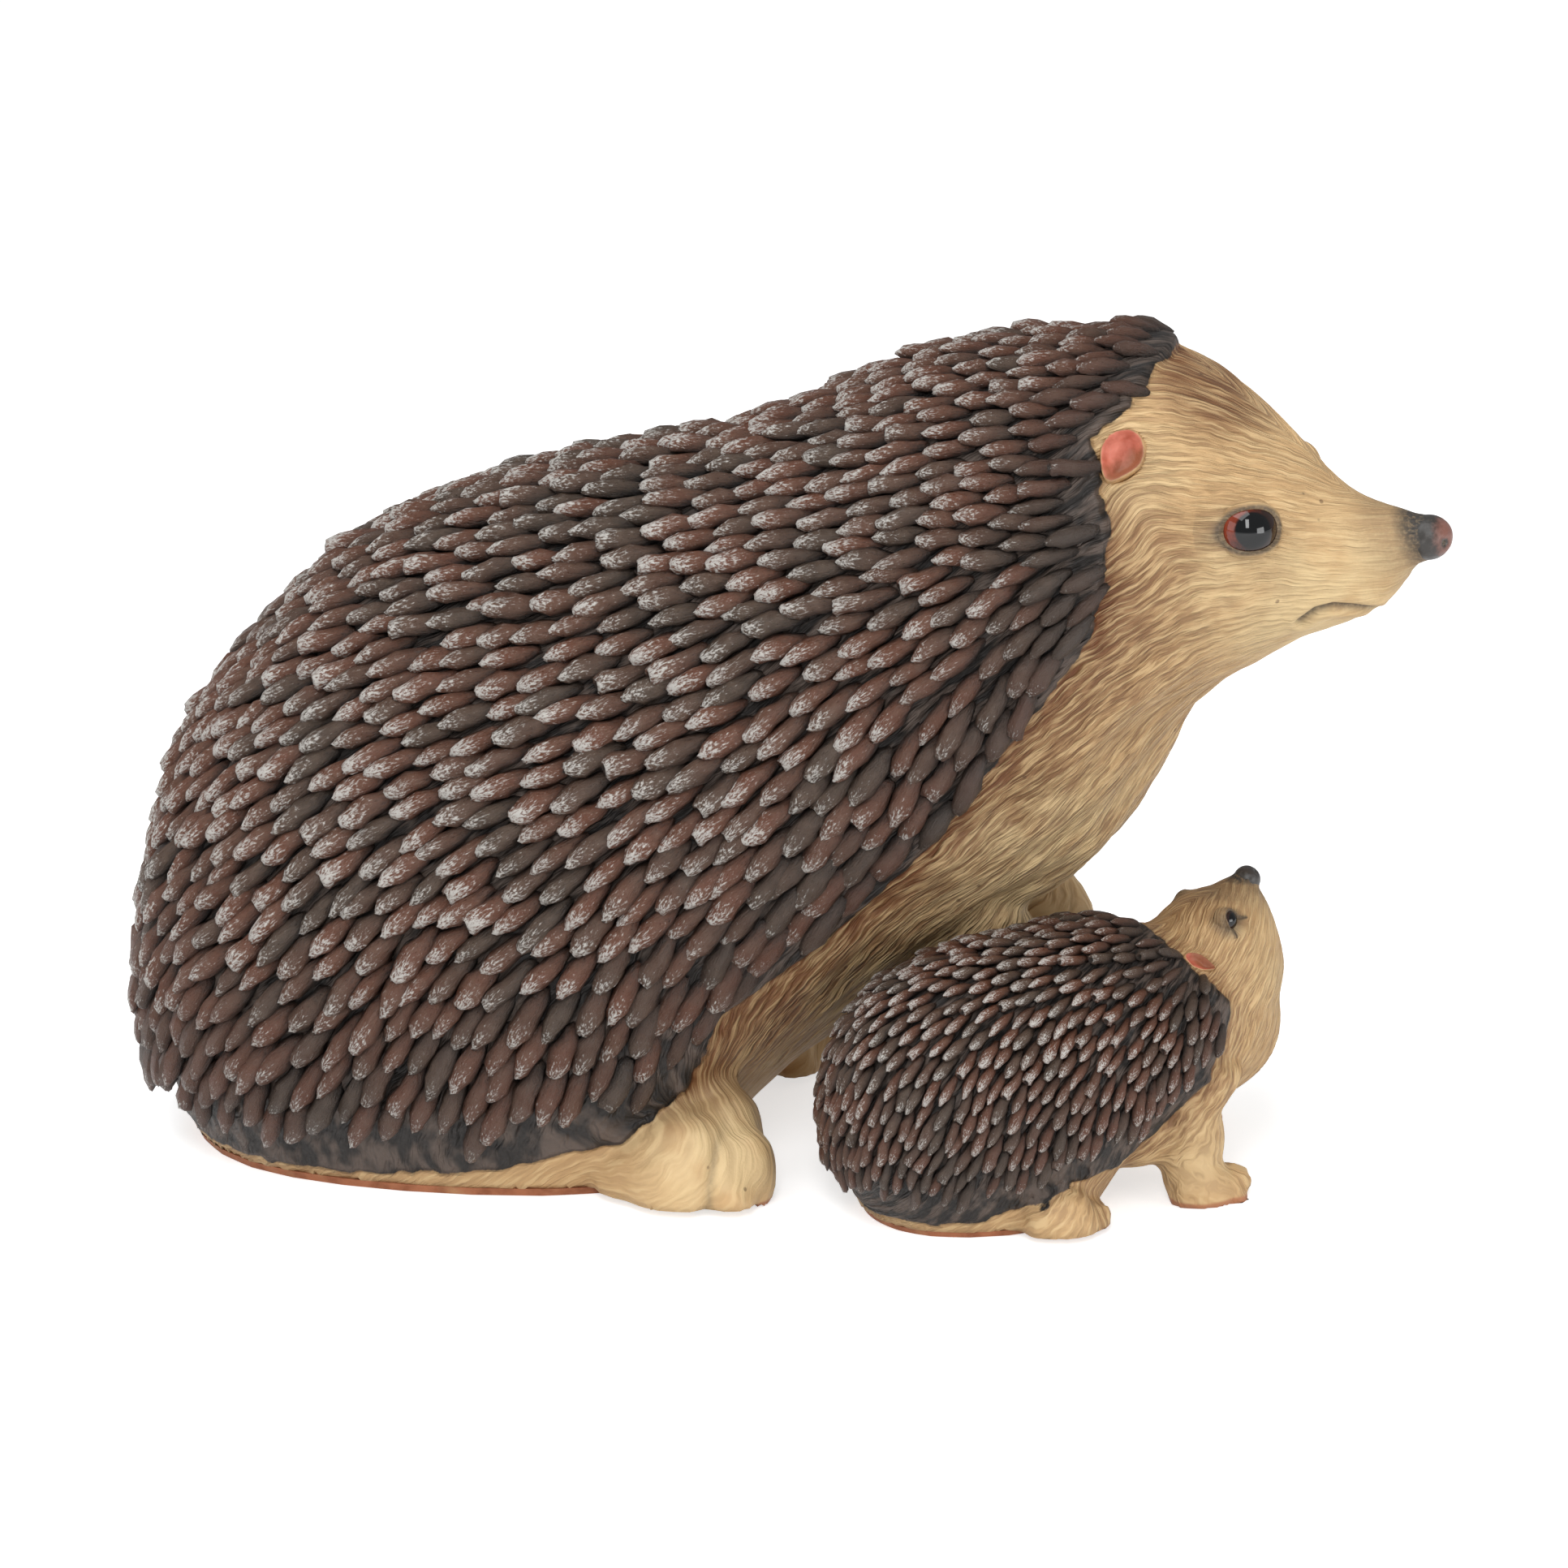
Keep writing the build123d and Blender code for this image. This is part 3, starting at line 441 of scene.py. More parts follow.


# Pink acrylic rubbed into the ear's hollow, over the cream of its rim: matt, with soft edges, and painted
# shade in brown towards the hollow's lower front
def ear_paint(name, paints, pink, trough_shade):
    material, node, place = new_material(name)
    hollow, low = (node("carried", attribute_name=carried) for carried in ("hollow", "low"))
    grit = node("noise", place, 1 / 0.0009, 3.0)
    blotches = node("noise", place, 1 / 0.0035)
    base = node("mix", node("smooth", blotches, 0.35, 0.65, 0.0, 0.75), colour(pink),
                colour(paint("#a84c33")))
    # Painted shade: brown that deepens towards the hollow's lower front
    painted_trough_shade = node("smooth", node("plus", low, node("times", blotches, 0.5)), 0.55, 0.95, 0.0, 0.85)
    base = node("mix", painted_trough_shade, base, colour(trough_shade))
    rim = node("plus", hollow, node("times", node("minus", grit, 0.5), 0.5))
    edge = node("mix", node("smooth", blotches, 0.3, 0.7, 0.15, 0.6), colour(paints.cream),
                colour(paints.brown_wash))
    base = node("mix", node("smooth", rim, 0.28, 0.0), base, edge)
    return dressed(material, Base_Color=base, Roughness=0.55, Normal=node("bump", grit, 0.0003, 0.7))


# Red-brown primer showing on the cast foot rim and underside: matt, chalky, rubbed paler in places
def bare_resin_paint(name, paints):
    material, node, place = new_material(name)
    blotches = node("noise", place, 1 / 0.004, 4.0)
    grit = node("noise", place, 1 / 0.0006)
    base = node("mix", node("smooth", blotches, 0.35, 0.7), colour(paints.bare_resin),
                colour(paint("#8f5333")))
    rubbed = node("smooth", node("noise", place, 1 / 0.011, 3.0), 0.5, 0.75, 0.0, 0.5)
    base = node("mix", rubbed, base, colour(paints.cream))
    return dressed(material, Base_Color=base, Roughness=node("smooth", grit, 0.2, 0.8, 0.6, 0.8),
                   Normal=node("bump", grit, 0.0002, 0.6))


def eased(low, high, value):
    """A share that moves smoothly from 0 to 1 as a value goes from low to high"""
    share = np.clip((value - low) / (high - low), 0, 1)
    return share * share * (3 - 2 * share)


def lattice(cells, seed):
    """A random share for each whole-numbered cell of space, the same on every run"""
    whole = cells.astype(np.uint64)
    value = whole[..., 0] * np.uint64(73856093) ^ whole[..., 1] * np.uint64(19349663)
    value ^= whole[..., 2] * np.uint64(83492791) ^ np.uint64(seed * 2654435761)
    value = (value ^ (value >> np.uint64(13))) * np.uint64(1274126177)
    return ((value ^ (value >> np.uint64(16))) & np.uint64(65535)).astype(float) / 65535


def grain(points, cell, seed):
    """Smooth random shares in space, with one value to a cell"""
    # The shift keeps every cell's number above zero
    scaled = points / cell + 4096
    low = np.floor(scaled)
    part = scaled - low
    part = part * part * (3 - 2 * part)
    total = np.zeros(len(points))
    for corner in itertools.product((0, 1), repeat=3):
        weight = np.prod(np.where(corner, part, 1 - part), axis=1)
        total += weight * lattice(low + corner, seed)
    return total


def guided(points, guides):
    """The guides' directions and sizes, blended by how near each guide lies in side view"""
    table = np.array(guides)
    gap = points[:, None, [0, 2]] - table[None, :, :2]
    weight = 1 / ((gap ** 2).sum(2) + 9) ** 1.7
    weight /= weight.sum(1)[:, None]
    angle = np.radians(table[:, 2])
    ways = np.stack([-np.cos(angle), np.zeros(len(table)), -np.sin(angle)], 1)
    return weight @ ways, weight @ table[:, 3]


def combed(points, normals, guides):
    """Directions along the surface that follow the guides"""
    way, _ = guided(points, guides)
    way -= normals * (way * normals).sum(1)[:, None]
    return way / np.maximum(np.linalg.norm(way, axis=1), 1e-6)[:, None]


def unrolled(points, edges, ways):
    """A value that grows by one for each millimetre along the ways, as nearly as a surface allows"""
    first, second = edges.T
    count = len(points)

    def gathered(values):
        return np.bincount(second, values, count) - np.bincount(first, values, count)

    goal = ((points[second] - points[first]) * (ways[first] + ways[second])).sum(1) / 2
    value = np.zeros(count)
    rest = gathered(goal)
    weight = 1 / (np.bincount(first, minlength=count) + np.bincount(second, minlength=count))
    eased_rest = weight * rest
    step = eased_rest.copy()
    size = rest @ eased_rest
    for _ in range(UNROLLING_STEPS):
        moved = gathered(step[second] - step[first])
        share = size / (step @ moved)
        value += share * step
        rest -= share * moved
        eased_rest = weight * rest
        fresh = rest @ eased_rest
        step = eased_rest + fresh / size * step
        size = fresh
    return value


def line_gap(place, line):
    """How far places in side view lie from a line of straight pieces"""
    nearest = np.full(len(place), 1e6)
    for start, end in zip(line, line[1:]):
        run = end - start
        share = np.clip(((place - start) @ run) / (run @ run), 0, 1)
        nearest = np.minimum(nearest, np.linalg.norm(place - start - share[:, None] * run, axis=1))
    return nearest


def border_depth(points, border):
    """How far behind a coat's border points lie in side view, and less than nothing in front"""
    place = points[:, [0, 2]]
    line = np.array(border + [(-200.0, border[-1][1])])
    nearest = line_gap(place, line)
    reach = np.interp(place[:, 1], line[-2::-1, 1], line[-2::-1, 0])
    behind = (place[:, 0] < reach) & (place[:, 1] > line[-1, 1])
    return np.where(behind, nearest, -nearest)


def tinted(points, spots):
    """The strongest of several soft round spots at each point"""
    share = np.zeros(len(points))
    for along, aside, level, reach, strength in spots:
        gap = np.linalg.norm(points - (along, aside, level), axis=1)
        share = np.maximum(share, strength * eased(reach, reach * 0.35, gap))
    return share


def to_baby(points):
    """Points in the baby's own line: along it, to its left and up"""
    moved = points - (*BABY_PLACE, 0)
    along = (math.cos(BABY_HEADING), math.sin(BABY_HEADING))
    return np.stack([moved[:, 0] * along[0] + moved[:, 1] * along[1],
                     moved[:, 1] * along[0] - moved[:, 0] * along[1], moved[:, 2]], 1)


def from_baby(points):
    """Points in the baby's own line, put back where it stands"""
    along = (math.cos(BABY_HEADING), math.sin(BABY_HEADING))
    return np.stack([BABY_PLACE[0] + points[:, 0] * along[0] - points[:, 1] * along[1],
                     BABY_PLACE[1] + points[:, 0] * along[1] + points[:, 1] * along[0], points[:, 2]], 1)


def unmoved(points):
    """Points in the mother's own line, which is the ornament's"""
    return points


def redirected(carried_over, ways):
    """Directions carried over to another line by the function that carries points over"""
    return carried_over(ways) - carried_over(np.zeros((1, 3)))


def unit(*values):
    """A direction of length one"""
    return np.array(values) / np.linalg.norm(values)


def squared(way, out):
    """A direction of length one, brought square to another"""
    flat = np.array(way) - out * (out @ np.array(way))
    return flat / np.linalg.norm(flat)


def new_object(name, mesh):
    """An object in the scene that holds a mesh"""
    item = bpy.data.objects.new(name, mesh)
    bpy.context.scene.collection.objects.link(item)
    return item


def mesh_of(form, name, smooth=True):
    """A mesh from a drawn form, with smooth shading or flat"""
    for face in form.faces:
        face.smooth = smooth
    mesh = bpy.data.meshes.new(name)
    form.to_mesh(mesh)
    form.free()
    return mesh


def painted_form(form, name, material):
    """An object in the scene with a drawn form, whose faces all look to one side, and its paint"""
    bmesh.ops.recalc_face_normals(form, faces=form.faces)
    mesh = mesh_of(form, name)
    mesh.materials.append(material)
    return new_object(name, mesh)


def read(items, name, width, kind=float):
    """The values of all items of one kind in a mesh, one row to an item"""
    values = np.empty(len(items) * width, kind)
    items.foreach_get(name, values)
    return values.reshape(-1, width)


def places(mesh):
    """A mesh's points in millimetres"""
    return read(mesh.vertices, "co", 3) / MM


def set_places(mesh, points):
    """Moves a mesh's points to places in millimetres"""
    mesh.vertices.foreach_set("co", (points * MM).ravel())
    mesh.update()


def outward(mesh):
    """A mesh's directions outwards at its points"""
    return read(mesh.vertex_normals, "vector", 3)


def carry(mesh, name, values):
    """Stores a value at each point of a mesh"""
    layer = mesh.attributes.new(name, "FLOAT", "POINT")
    layer.data.foreach_set("value", np.asarray(values, np.float32))


def carry_ways(mesh, name, values):
    """Stores a direction or a place at each point of a mesh"""
    layer = mesh.attributes.new(name, "FLOAT_VECTOR", "POINT")
    layer.data.foreach_set("vector", np.asarray(values, np.float32).ravel())


def edge_ends(mesh):
    """The two points of each of a mesh's edges"""
    return read(mesh.edges, "vertices", 2, int)


def relaxed(mesh, share, rounds):
    """Evens a mesh's points out towards their neighbours, as strongly as their share says"""
    points = places(mesh)
    first, second = edge_ends(mesh).T
    count = np.bincount(first, minlength=len(points)) + np.bincount(second, minlength=len(points))
    for _ in range(rounds):
        # The second step takes back what the first shrinks
        for factor in (0.55, -0.57):
            total = np.stack([np.bincount(first, points[second, axis], len(points))
                              + np.bincount(second, points[first, axis], len(points))
                              for axis in range(3)], 1)
            points += factor * share[:, None] * (total / count[:, None] - points)
    set_places(mesh, points)


def cast_form(name, nodes, lumps, voxel):
    """One closed outer skin round several CAD nodes and rounded lumps, with even faces"""
    form = bmesh.new()
    for node in nodes:
        form.from_mesh(frame["nodes"][node].data)
    bmesh.ops.remove_doubles(form, verts=form.verts, dist=0.00001)
    for place, radii, turn in lumps:
        shape = Matrix.Translation(Vector(place) * MM) @ Matrix.Rotation(turn, 4, "Z")
        shape = shape @ Matrix.Diagonal((*(radius * MM for radius in radii), 1.0))
        bmesh.ops.create_icosphere(form, subdivisions=3, radius=1.0, matrix=shape)
    item = new_object(name, mesh_of(form, name, smooth=False))
    skin = item.modifiers.new("Remesh", "REMESH")
    skin.mode = "VOXEL"
    skin.voxel_size = voxel
    graph = bpy.context.evaluated_depsgraph_get()
    cast = bpy.data.meshes.new_from_object(item.evaluated_get(graph))
    bpy.data.objects.remove(item)
    form = bmesh.new()
    form.from_mesh(cast)
    top = max(form.verts, key=lambda vert: vert.co.z)
    kept, edge_of_kept = {top}, [top]
    while edge_of_kept:
        here = edge_of_kept.pop()
        for edge in here.link_edges:
            there = edge.other_vert(here)
            if there not in kept:
                kept.add(there)
                edge_of_kept.append(there)
    bmesh.ops.delete(form, geom=[vert for vert in form.verts if vert not in kept], context="VERTS")
    form.to_mesh(cast)
    form.free()
    return cast


def finer(mesh, chosen):
    """Splits the faces that have every point chosen into four"""
    form = bmesh.new()
    form.from_mesh(mesh)
    form.verts.ensure_lookup_table()
    edges = dict.fromkeys(edge for face in form.faces if all(chosen[vert.index] for vert in face.verts)
                          for edge in face.edges)
    bmesh.ops.subdivide_edges(form, edges=list(edges), cuts=1, use_grid_fill=True)
    form.to_mesh(mesh)
    form.free()


def lidded(points, eye):
    """Skin drawn round an eyeball: open in an almond in front of it, with a raised lid round that"""
    centre, radius, opening = eye["centre"], eye["radius"], eye["opening"]
    offset = points - centre
    distance = np.linalg.norm(offset, axis=1)
    way = offset / np.maximum(distance, 1e-6)[:, None]
    side = np.cross(eye["up"], eye["out"])
    across, rise, front = way @ side / opening[0], way @ eye["up"] / opening[1], way @ eye["out"]
    spread = np.sqrt(across ** 2 + rise ** 2 + 0.45 * across ** 4)
    near = (front > -0.4) & (distance < radius * 1.9)
    lid = radius * (1.0 + 0.13 * np.exp(-((spread - 1.16) / 0.16) ** 2))
    fade = eased(1.15, 1.75, spread)
    soft = max(0.09, 0.42 / radius)
    reach = np.maximum(distance, np.maximum(lid * (1 - fade) + distance * fade, radius * 1.04))
    reach = reach + (radius * 0.8 - reach) * eased(1 + soft * 0.55, 1 - soft * 0.45, spread) * (front > 0)
    line = np.exp(-((spread - 1.05) / soft) ** 2) * near * (front > 0) * 0.85
    return np.where(near[:, None], centre + way * reach[:, None], points), line


def near_eyes(mesh, eyes, reach):
    """Which points lie within so many radii of an eye's centre"""
    gaps = [np.linalg.norm(places(mesh) - eye["centre"], axis=1) / eye["radius"] for eye in eyes]
    return np.min(gaps, axis=0) < reach


def ear_facts(animal, bare):
    """Where each ear lies on the bare form, which way it opens and its half sizes"""
    points = places(bare)
    tree = BVHTree.FromPolygons([Vector(point) for point in points],
                                [tuple(polygon.vertices) for polygon in bare.polygons])
    facts = []
    for side in ("left", "right"):
        place, out, _, _ = tree.find_nearest(Vector(box_middle(f"{animal['name']}_{side}_ear")))
        out = np.array(out)
        up = squared(animal["ear_up"], out)
        ahead = np.cross(up, out) * (1 if side == "right" else -1)
        facts.append({"node": f"{animal['name']}_{side}_ear", "centre": np.array(place), "out": out,
                      "up": up, "ahead": ahead, "half": animal["ear_half"], "depth": animal["ear_depth"]})
    return facts


def hollowed(points, ear):
    """Skin sunk under an ear's hollow, with a soft swelling round it"""
    offset = points - ear["centre"]
    spread = np.hypot(offset @ ear["ahead"] / ear["half"][0], offset @ ear["up"] / ear["half"][1])
    near = np.abs(offset @ ear["out"]) < ear["half"][1]
    swelling = 0.35 * ear["depth"] * np.exp(-((spread - 1.15) / 0.22) ** 2)
    sunk = 1.5 * ear["depth"] * eased(1.0, 0.75, spread)
    return points + ear["out"] * ((swelling - sunk) * near)[:, None]


def skin_of(animal, sizes, paints):
    """Sculpts and paints one animal's skin from its CAD nodes, and returns its bare form"""
    mesh = cast_form(animal["name"] + "_skin", animal["nodes"] + animal["base"], animal["lumps"],
                     animal["voxel"] * MM)
    local, back, border = animal["local"], animal["back"], animal["border"]
    relaxed(mesh, np.ones(len(mesh.vertices)), 3)
    for margin, fine in ((4.0, False), (2.0, True)):
        points = local(places(mesh))
        depth = border_depth(points, border)
        chosen = depth < margin
        if fine:
            chosen &= animal["fine"](points) | (np.abs(depth) < margin)
        finer(mesh, chosen & (points[:, 2] > 2.2))
        relaxed(mesh, (border_depth(local(places(mesh)), border) < margin + 3).astype(float), 3)
    finer(mesh, near_eyes(mesh, animal["eyes"], 2.0))
    relaxed(mesh, near_eyes(mesh, animal["eyes"], 2.4).astype(float), 2)
    points = local(places(mesh))
    depth = border_depth(points, border)
    normals = redirected(local, outward(mesh))
    bed = animal["bed"] * eased(-0.4, 1.6, depth + animal["bed"] * (grain(points, 3.0, 5) - 0.5))
    bed *= 1 - 0.8 * eased(24 * animal["scale"], 8 * animal["scale"], points[:, 2])
    points = points + normals * bed[:, None]
    bare = mesh.copy()
    set_places(bare, back(points))
    coat = eased(-0.6, 0.8, depth + 1.6 * (grain(points, 2.2, 9) - 0.5))
    ways = combed(points, normals, animal["fur_guides"])
    ways += (combed(points, normals, animal["quill_guides"]) - ways) * coat[:, None]
    # Both sides run from the belly to the back, so that the value can close round the body
    side = np.where(points[:, 1] > np.interp(points[:, 0], *animal["middle"]), -1.0, 1.0)
    across = unrolled(points, edge_ends(mesh), np.cross(normals, ways) * side[:, None])
    along = unrolled(points, edge_ends(mesh), ways)
    strand = sizes.strand_width / MM * animal["scale"]
    _, carving = guided(points, animal["fur_guides"])
    carving = carving * (1 - coat) + coat
    lie = np.stack([across, along, np.zeros(len(points))], 1)
    tufts = grain(lie * (1, 0.16, 1) + 0.7, strand * 3.4, 12)
    tufts += 0.5 * grain(lie * (1, 0.14, 1), strand * 1.8, 14)
    rolls = grain(lie * (1, 0.45, 1) + 3.1, 7.5 * animal["scale"], 15)
    lumps = (tufts - 0.75) * sizes.strand_depth / MM * 2.2 * carving
    lumps += (rolls - 0.5) * animal["rolls"] * np.clip(carving - 0.5, 0, 1) * (1 - coat)
    for eye in animal["eyes"]:
        gap = np.linalg.norm(points - local(eye["centre"][None])[0], axis=1)
        lumps *= eased(eye["radius"] * 1.1, eye["radius"] * 1.9, gap)
    points = points + normals * (lumps * animal["scale"] ** 0.5)[:, None]
    points, lines = animal["carve"](points, normals)
    points = back(points)
    for ear in ear_facts(animal, bare):
        points = hollowed(points, ear)
    for eye in animal["eyes"]:
        points, line = lidded(points, eye)
        lines = np.maximum(lines, line)
    # The plated underside ends flat on its plate, and the feet on the ground
    sole = np.where(animal["plated"](local(points)), animal["sole"], 0.0)
    flat = places(mesh)[:, 2] < sole + 0.6
    points[:, 2] = np.where(flat, sole, np.maximum(points[:, 2], sole))
    set_places(mesh, points)
    for polygon in mesh.polygons:
        polygon.use_smooth = True
    points = local(points)
    behind = np.minimum(depth, 0) / animal["wash_reach"]
    near_coat = (0.68 * np.exp(behind) + 0.32 * np.exp(behind / 3)) * animal["wash_share"](points)
    carry(mesh, "coat", coat)
    carry(mesh, "carving", carving)
    carry(mesh, "pale", tinted(points, animal["pale"]))
    carry(mesh, "wash", np.clip(np.maximum(near_coat, tinted(points, animal["wash"])), 0, 1))
    carry(mesh, "soot", np.clip(np.maximum(tinted(points, animal["soot"]), lines), 0, 1))
    carry_ways(mesh, "lie", lie * MM)
    skin = new_object(animal["name"] + "_skin", mesh)
    mesh.materials.append(cast_skin_paint(animal["name"] + " cream paint on cast resin", paints,
                                          strand * MM, sizes.strand_depth * animal["scale"]))
    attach(skin, "root")
    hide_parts(*animal["nodes"])
    return bare


def scattered(mesh, animal, sizes, seed):
    """Places for quills over a coat: evenly spread, longer gaps along the quills than across"""
    along, across = sizes
    local = animal["local"]
    mesh.calc_loop_triangles()
    corners = read(mesh.loop_triangles, "vertices", 3, int)
    points = local(places(mesh))
    shapes = points[corners]
    face_out = np.cross(shapes[:, 1] - shapes[:, 0], shapes[:, 2] - shapes[:, 0])
    area = np.linalg.norm(face_out, axis=1)
    middle = shapes.mean(1)
    open_face = (border_depth(middle, animal["border"]) > 0.2) & (middle[:, 2] > animal["lowest"])
    chance = np.random.default_rng(seed)
    weight = area * open_face
    pick = chance.choice(len(shapes), animal["tries"], p=weight / weight.sum())
    share = chance.random((len(pick), 2))
    share = np.where(share.sum(1)[:, None] > 1, 1 - share, share)
    spots = (shapes[pick, 0] + share[:, :1] * (shapes[pick, 1] - shapes[pick, 0])
             + share[:, 1:] * (shapes[pick, 2] - shapes[pick, 0]))
    normals = face_out[pick] / area[pick][:, None]
    ahead = combed(spots, normals, animal["quill_guides"])
    _, size = guided(spots, animal["quill_guides"])
    kept = np.empty((len(spots), 3))
    chosen = []
    for index, (spot, way, share_of_size) in enumerate(zip(spots, ahead, size)):
        gap = kept[:len(chosen)] - spot
        run = gap @ way
        rest = np.maximum((gap ** 2).sum(1) - run ** 2, 0)
        if not chosen or ((run / along) ** 2 + rest / across ** 2).min() > (FIRST_GAP * share_of_size) ** 2:
            kept[len(chosen)] = spot
            chosen.append(index)
    spots = kept[:len(chosen)].copy()
    tree = BVHTree.FromPolygons([Vector(point) for point in points], corners.tolist())

    def landed(spots):
        """The nearest places on the form, and which way it faces there"""
        found = [tree.find_nearest(Vector(spot)) for spot in spots]
        return (np.array([place for place, _, _, _ in found]), np.array([out for _, out, _, _ in found]))

    for _ in range(SPREADING_ROUNDS):
        spots, normals = landed(spots)
        ahead = combed(spots, normals, animal["quill_guides"])
        _, size = guided(spots, animal["quill_guides"])
        gap = spots[:, None] - spots[None]
        run = (gap * ahead[:, None]).sum(2)
        side = gap - run[..., None] * ahead[:, None]
        length = np.sqrt((run / along) ** 2 + (side ** 2).sum(2) / across ** 2) / size[:, None]
        # No quill pushes itself
        np.fill_diagonal(length, 9)
        push = np.maximum(PUSHED_GAP - length, 0) / np.maximum(length, 0.1)
        spots = spots + PUSH * (gap * push[..., None]).sum(1)
    return landed(spots)


def quill_form(name, rings, seed):
    """A rough quill one long and one wide, along Z and with its crest to +X, that droops to its tip"""
    form = bmesh.new()
    along = form.verts.layers.float.new("along")
    crest = form.verts.layers.float.new("crest")
    lie = form.verts.layers.float_vector.new("lie")
    chance = random.Random(seed)
    loops = []
    for place, half in rings:
        loop = []
        sway = chance.uniform(-0.05, 0.05)
        for step in range(QUILL_SIDES):
            angle = 2 * math.pi * step / QUILL_SIDES
            reach = half * (1 + chance.uniform(-0.15, 0.15))
            ridge = 1 + 0.25 * math.cos(angle) ** 4 if math.cos(angle) > 0 else 0.8
            vert = form.verts.new((reach * ridge * math.cos(angle) - 0.22 * place ** 2,
                                   reach * math.sin(angle) + sway, place + chance.uniform(-0.02, 0.02)))
            vert[along], vert[crest], vert[lie] = place, math.cos(angle), vert.co
            loop.append(vert)
        loops.append(loop)
    for lower, upper in zip(loops, loops[1:]):
        for step in range(QUILL_SIDES):
            after = (step + 1) % QUILL_SIDES
            form.faces.new((lower[step], lower[after], upper[after], upper[step]))
    form.faces.new(loops[0][::-1])
    form.faces.new(loops[-1])
    return bpy.data.objects.new(name, mesh_of(form, name))


def quill_tree():
    """Geometry nodes that set one of several quills on each point, turned as the point says"""
    tree = bpy.data.node_groups.new("Quills on a coat", "GeometryNodeTree")
    node = partial(add, tree)
    for name, kind in (("Geometry", "Geometry"), ("Quill length", "Float"), ("Quill width", "Float"),
                       ("Quill height", "Float"), ("Quill forms", "Collection"), ("Paint", "Material"),
                       ("Seed", "Int")):
        tree.interface.new_socket(name=name, in_out="INPUT", socket_type="NodeSocket" + kind)
    tree.interface.new_socket(name="Geometry", in_out="OUTPUT", socket_type="NodeSocketGeometry")
    given = node("NodeGroupInput").outputs
    seed = given["Seed"]
    forms = node("GeometryNodeCollectionInfo", {"Collection": given["Quill forms"],
                                                "Separate Children": True, "Reset Children": True})
    index = node("FunctionNodeRandomValue", {4: 0, 5: len(QUILL_FORMS) - 1, "Seed": seed},
                 data_type="INT").outputs[2]
    ahead, crest = node("named", "ahead"), node("named", "outward")
    size, press = (node("named", name, data_type="FLOAT") for name in ("size", "press"))
    laid = node("FunctionNodeAlignRotationToVector", {"Vector": ahead}, axis="Z")
    turned = node("FunctionNodeAlignRotationToVector",
                  {"Rotation": laid.outputs["Rotation"], "Vector": crest}, axis="X", pivot_axis="Z")
    sway = node("varied", (-0.10, -0.05, -0.25), (0.10, 0.06, 0.25), seed)
    swayed = node("FunctionNodeRotateRotation",
                  {"Rotation": turned.outputs["Rotation"], "Rotate By": sway}, rotation_space="LOCAL")
    whole = node("ShaderNodeCombineXYZ", {0: node("times", given["Quill height"], press),
                                          1: given["Quill width"], 2: given["Quill length"]}).outputs[0]
    scale = node("stretched", node("scaled", whole, size),
                 node("varied", (0.88, 0.88, 0.86), (1.12, 1.12, 1.08), seed))
    placed = node("GeometryNodeInstanceOnPoints",
                  {"Points": given["Geometry"], "Instance": forms.outputs[0], "Pick Instance": True,
                   "Instance Index": index, "Rotation": swayed.outputs["Rotation"], "Scale": scale})
    tone = node("FunctionNodeRandomValue", {"Seed": seed}, data_type="FLOAT")
    toned = node("GeometryNodeStoreNamedAttribute",
                 {"Geometry": placed.outputs[0], "Name": "tone", "Value": tone.outputs["Value"]},
                 data_type="FLOAT", domain="INSTANCE")
    real = node("GeometryNodeRealizeInstances", {"Geometry": toned.outputs[0]})
    painted = node("GeometryNodeSetMaterial", {"Geometry": real.outputs[0], "Material": given["Paint"]})
    node("NodeGroupOutput", {0: painted.outputs[0]})
    return tree


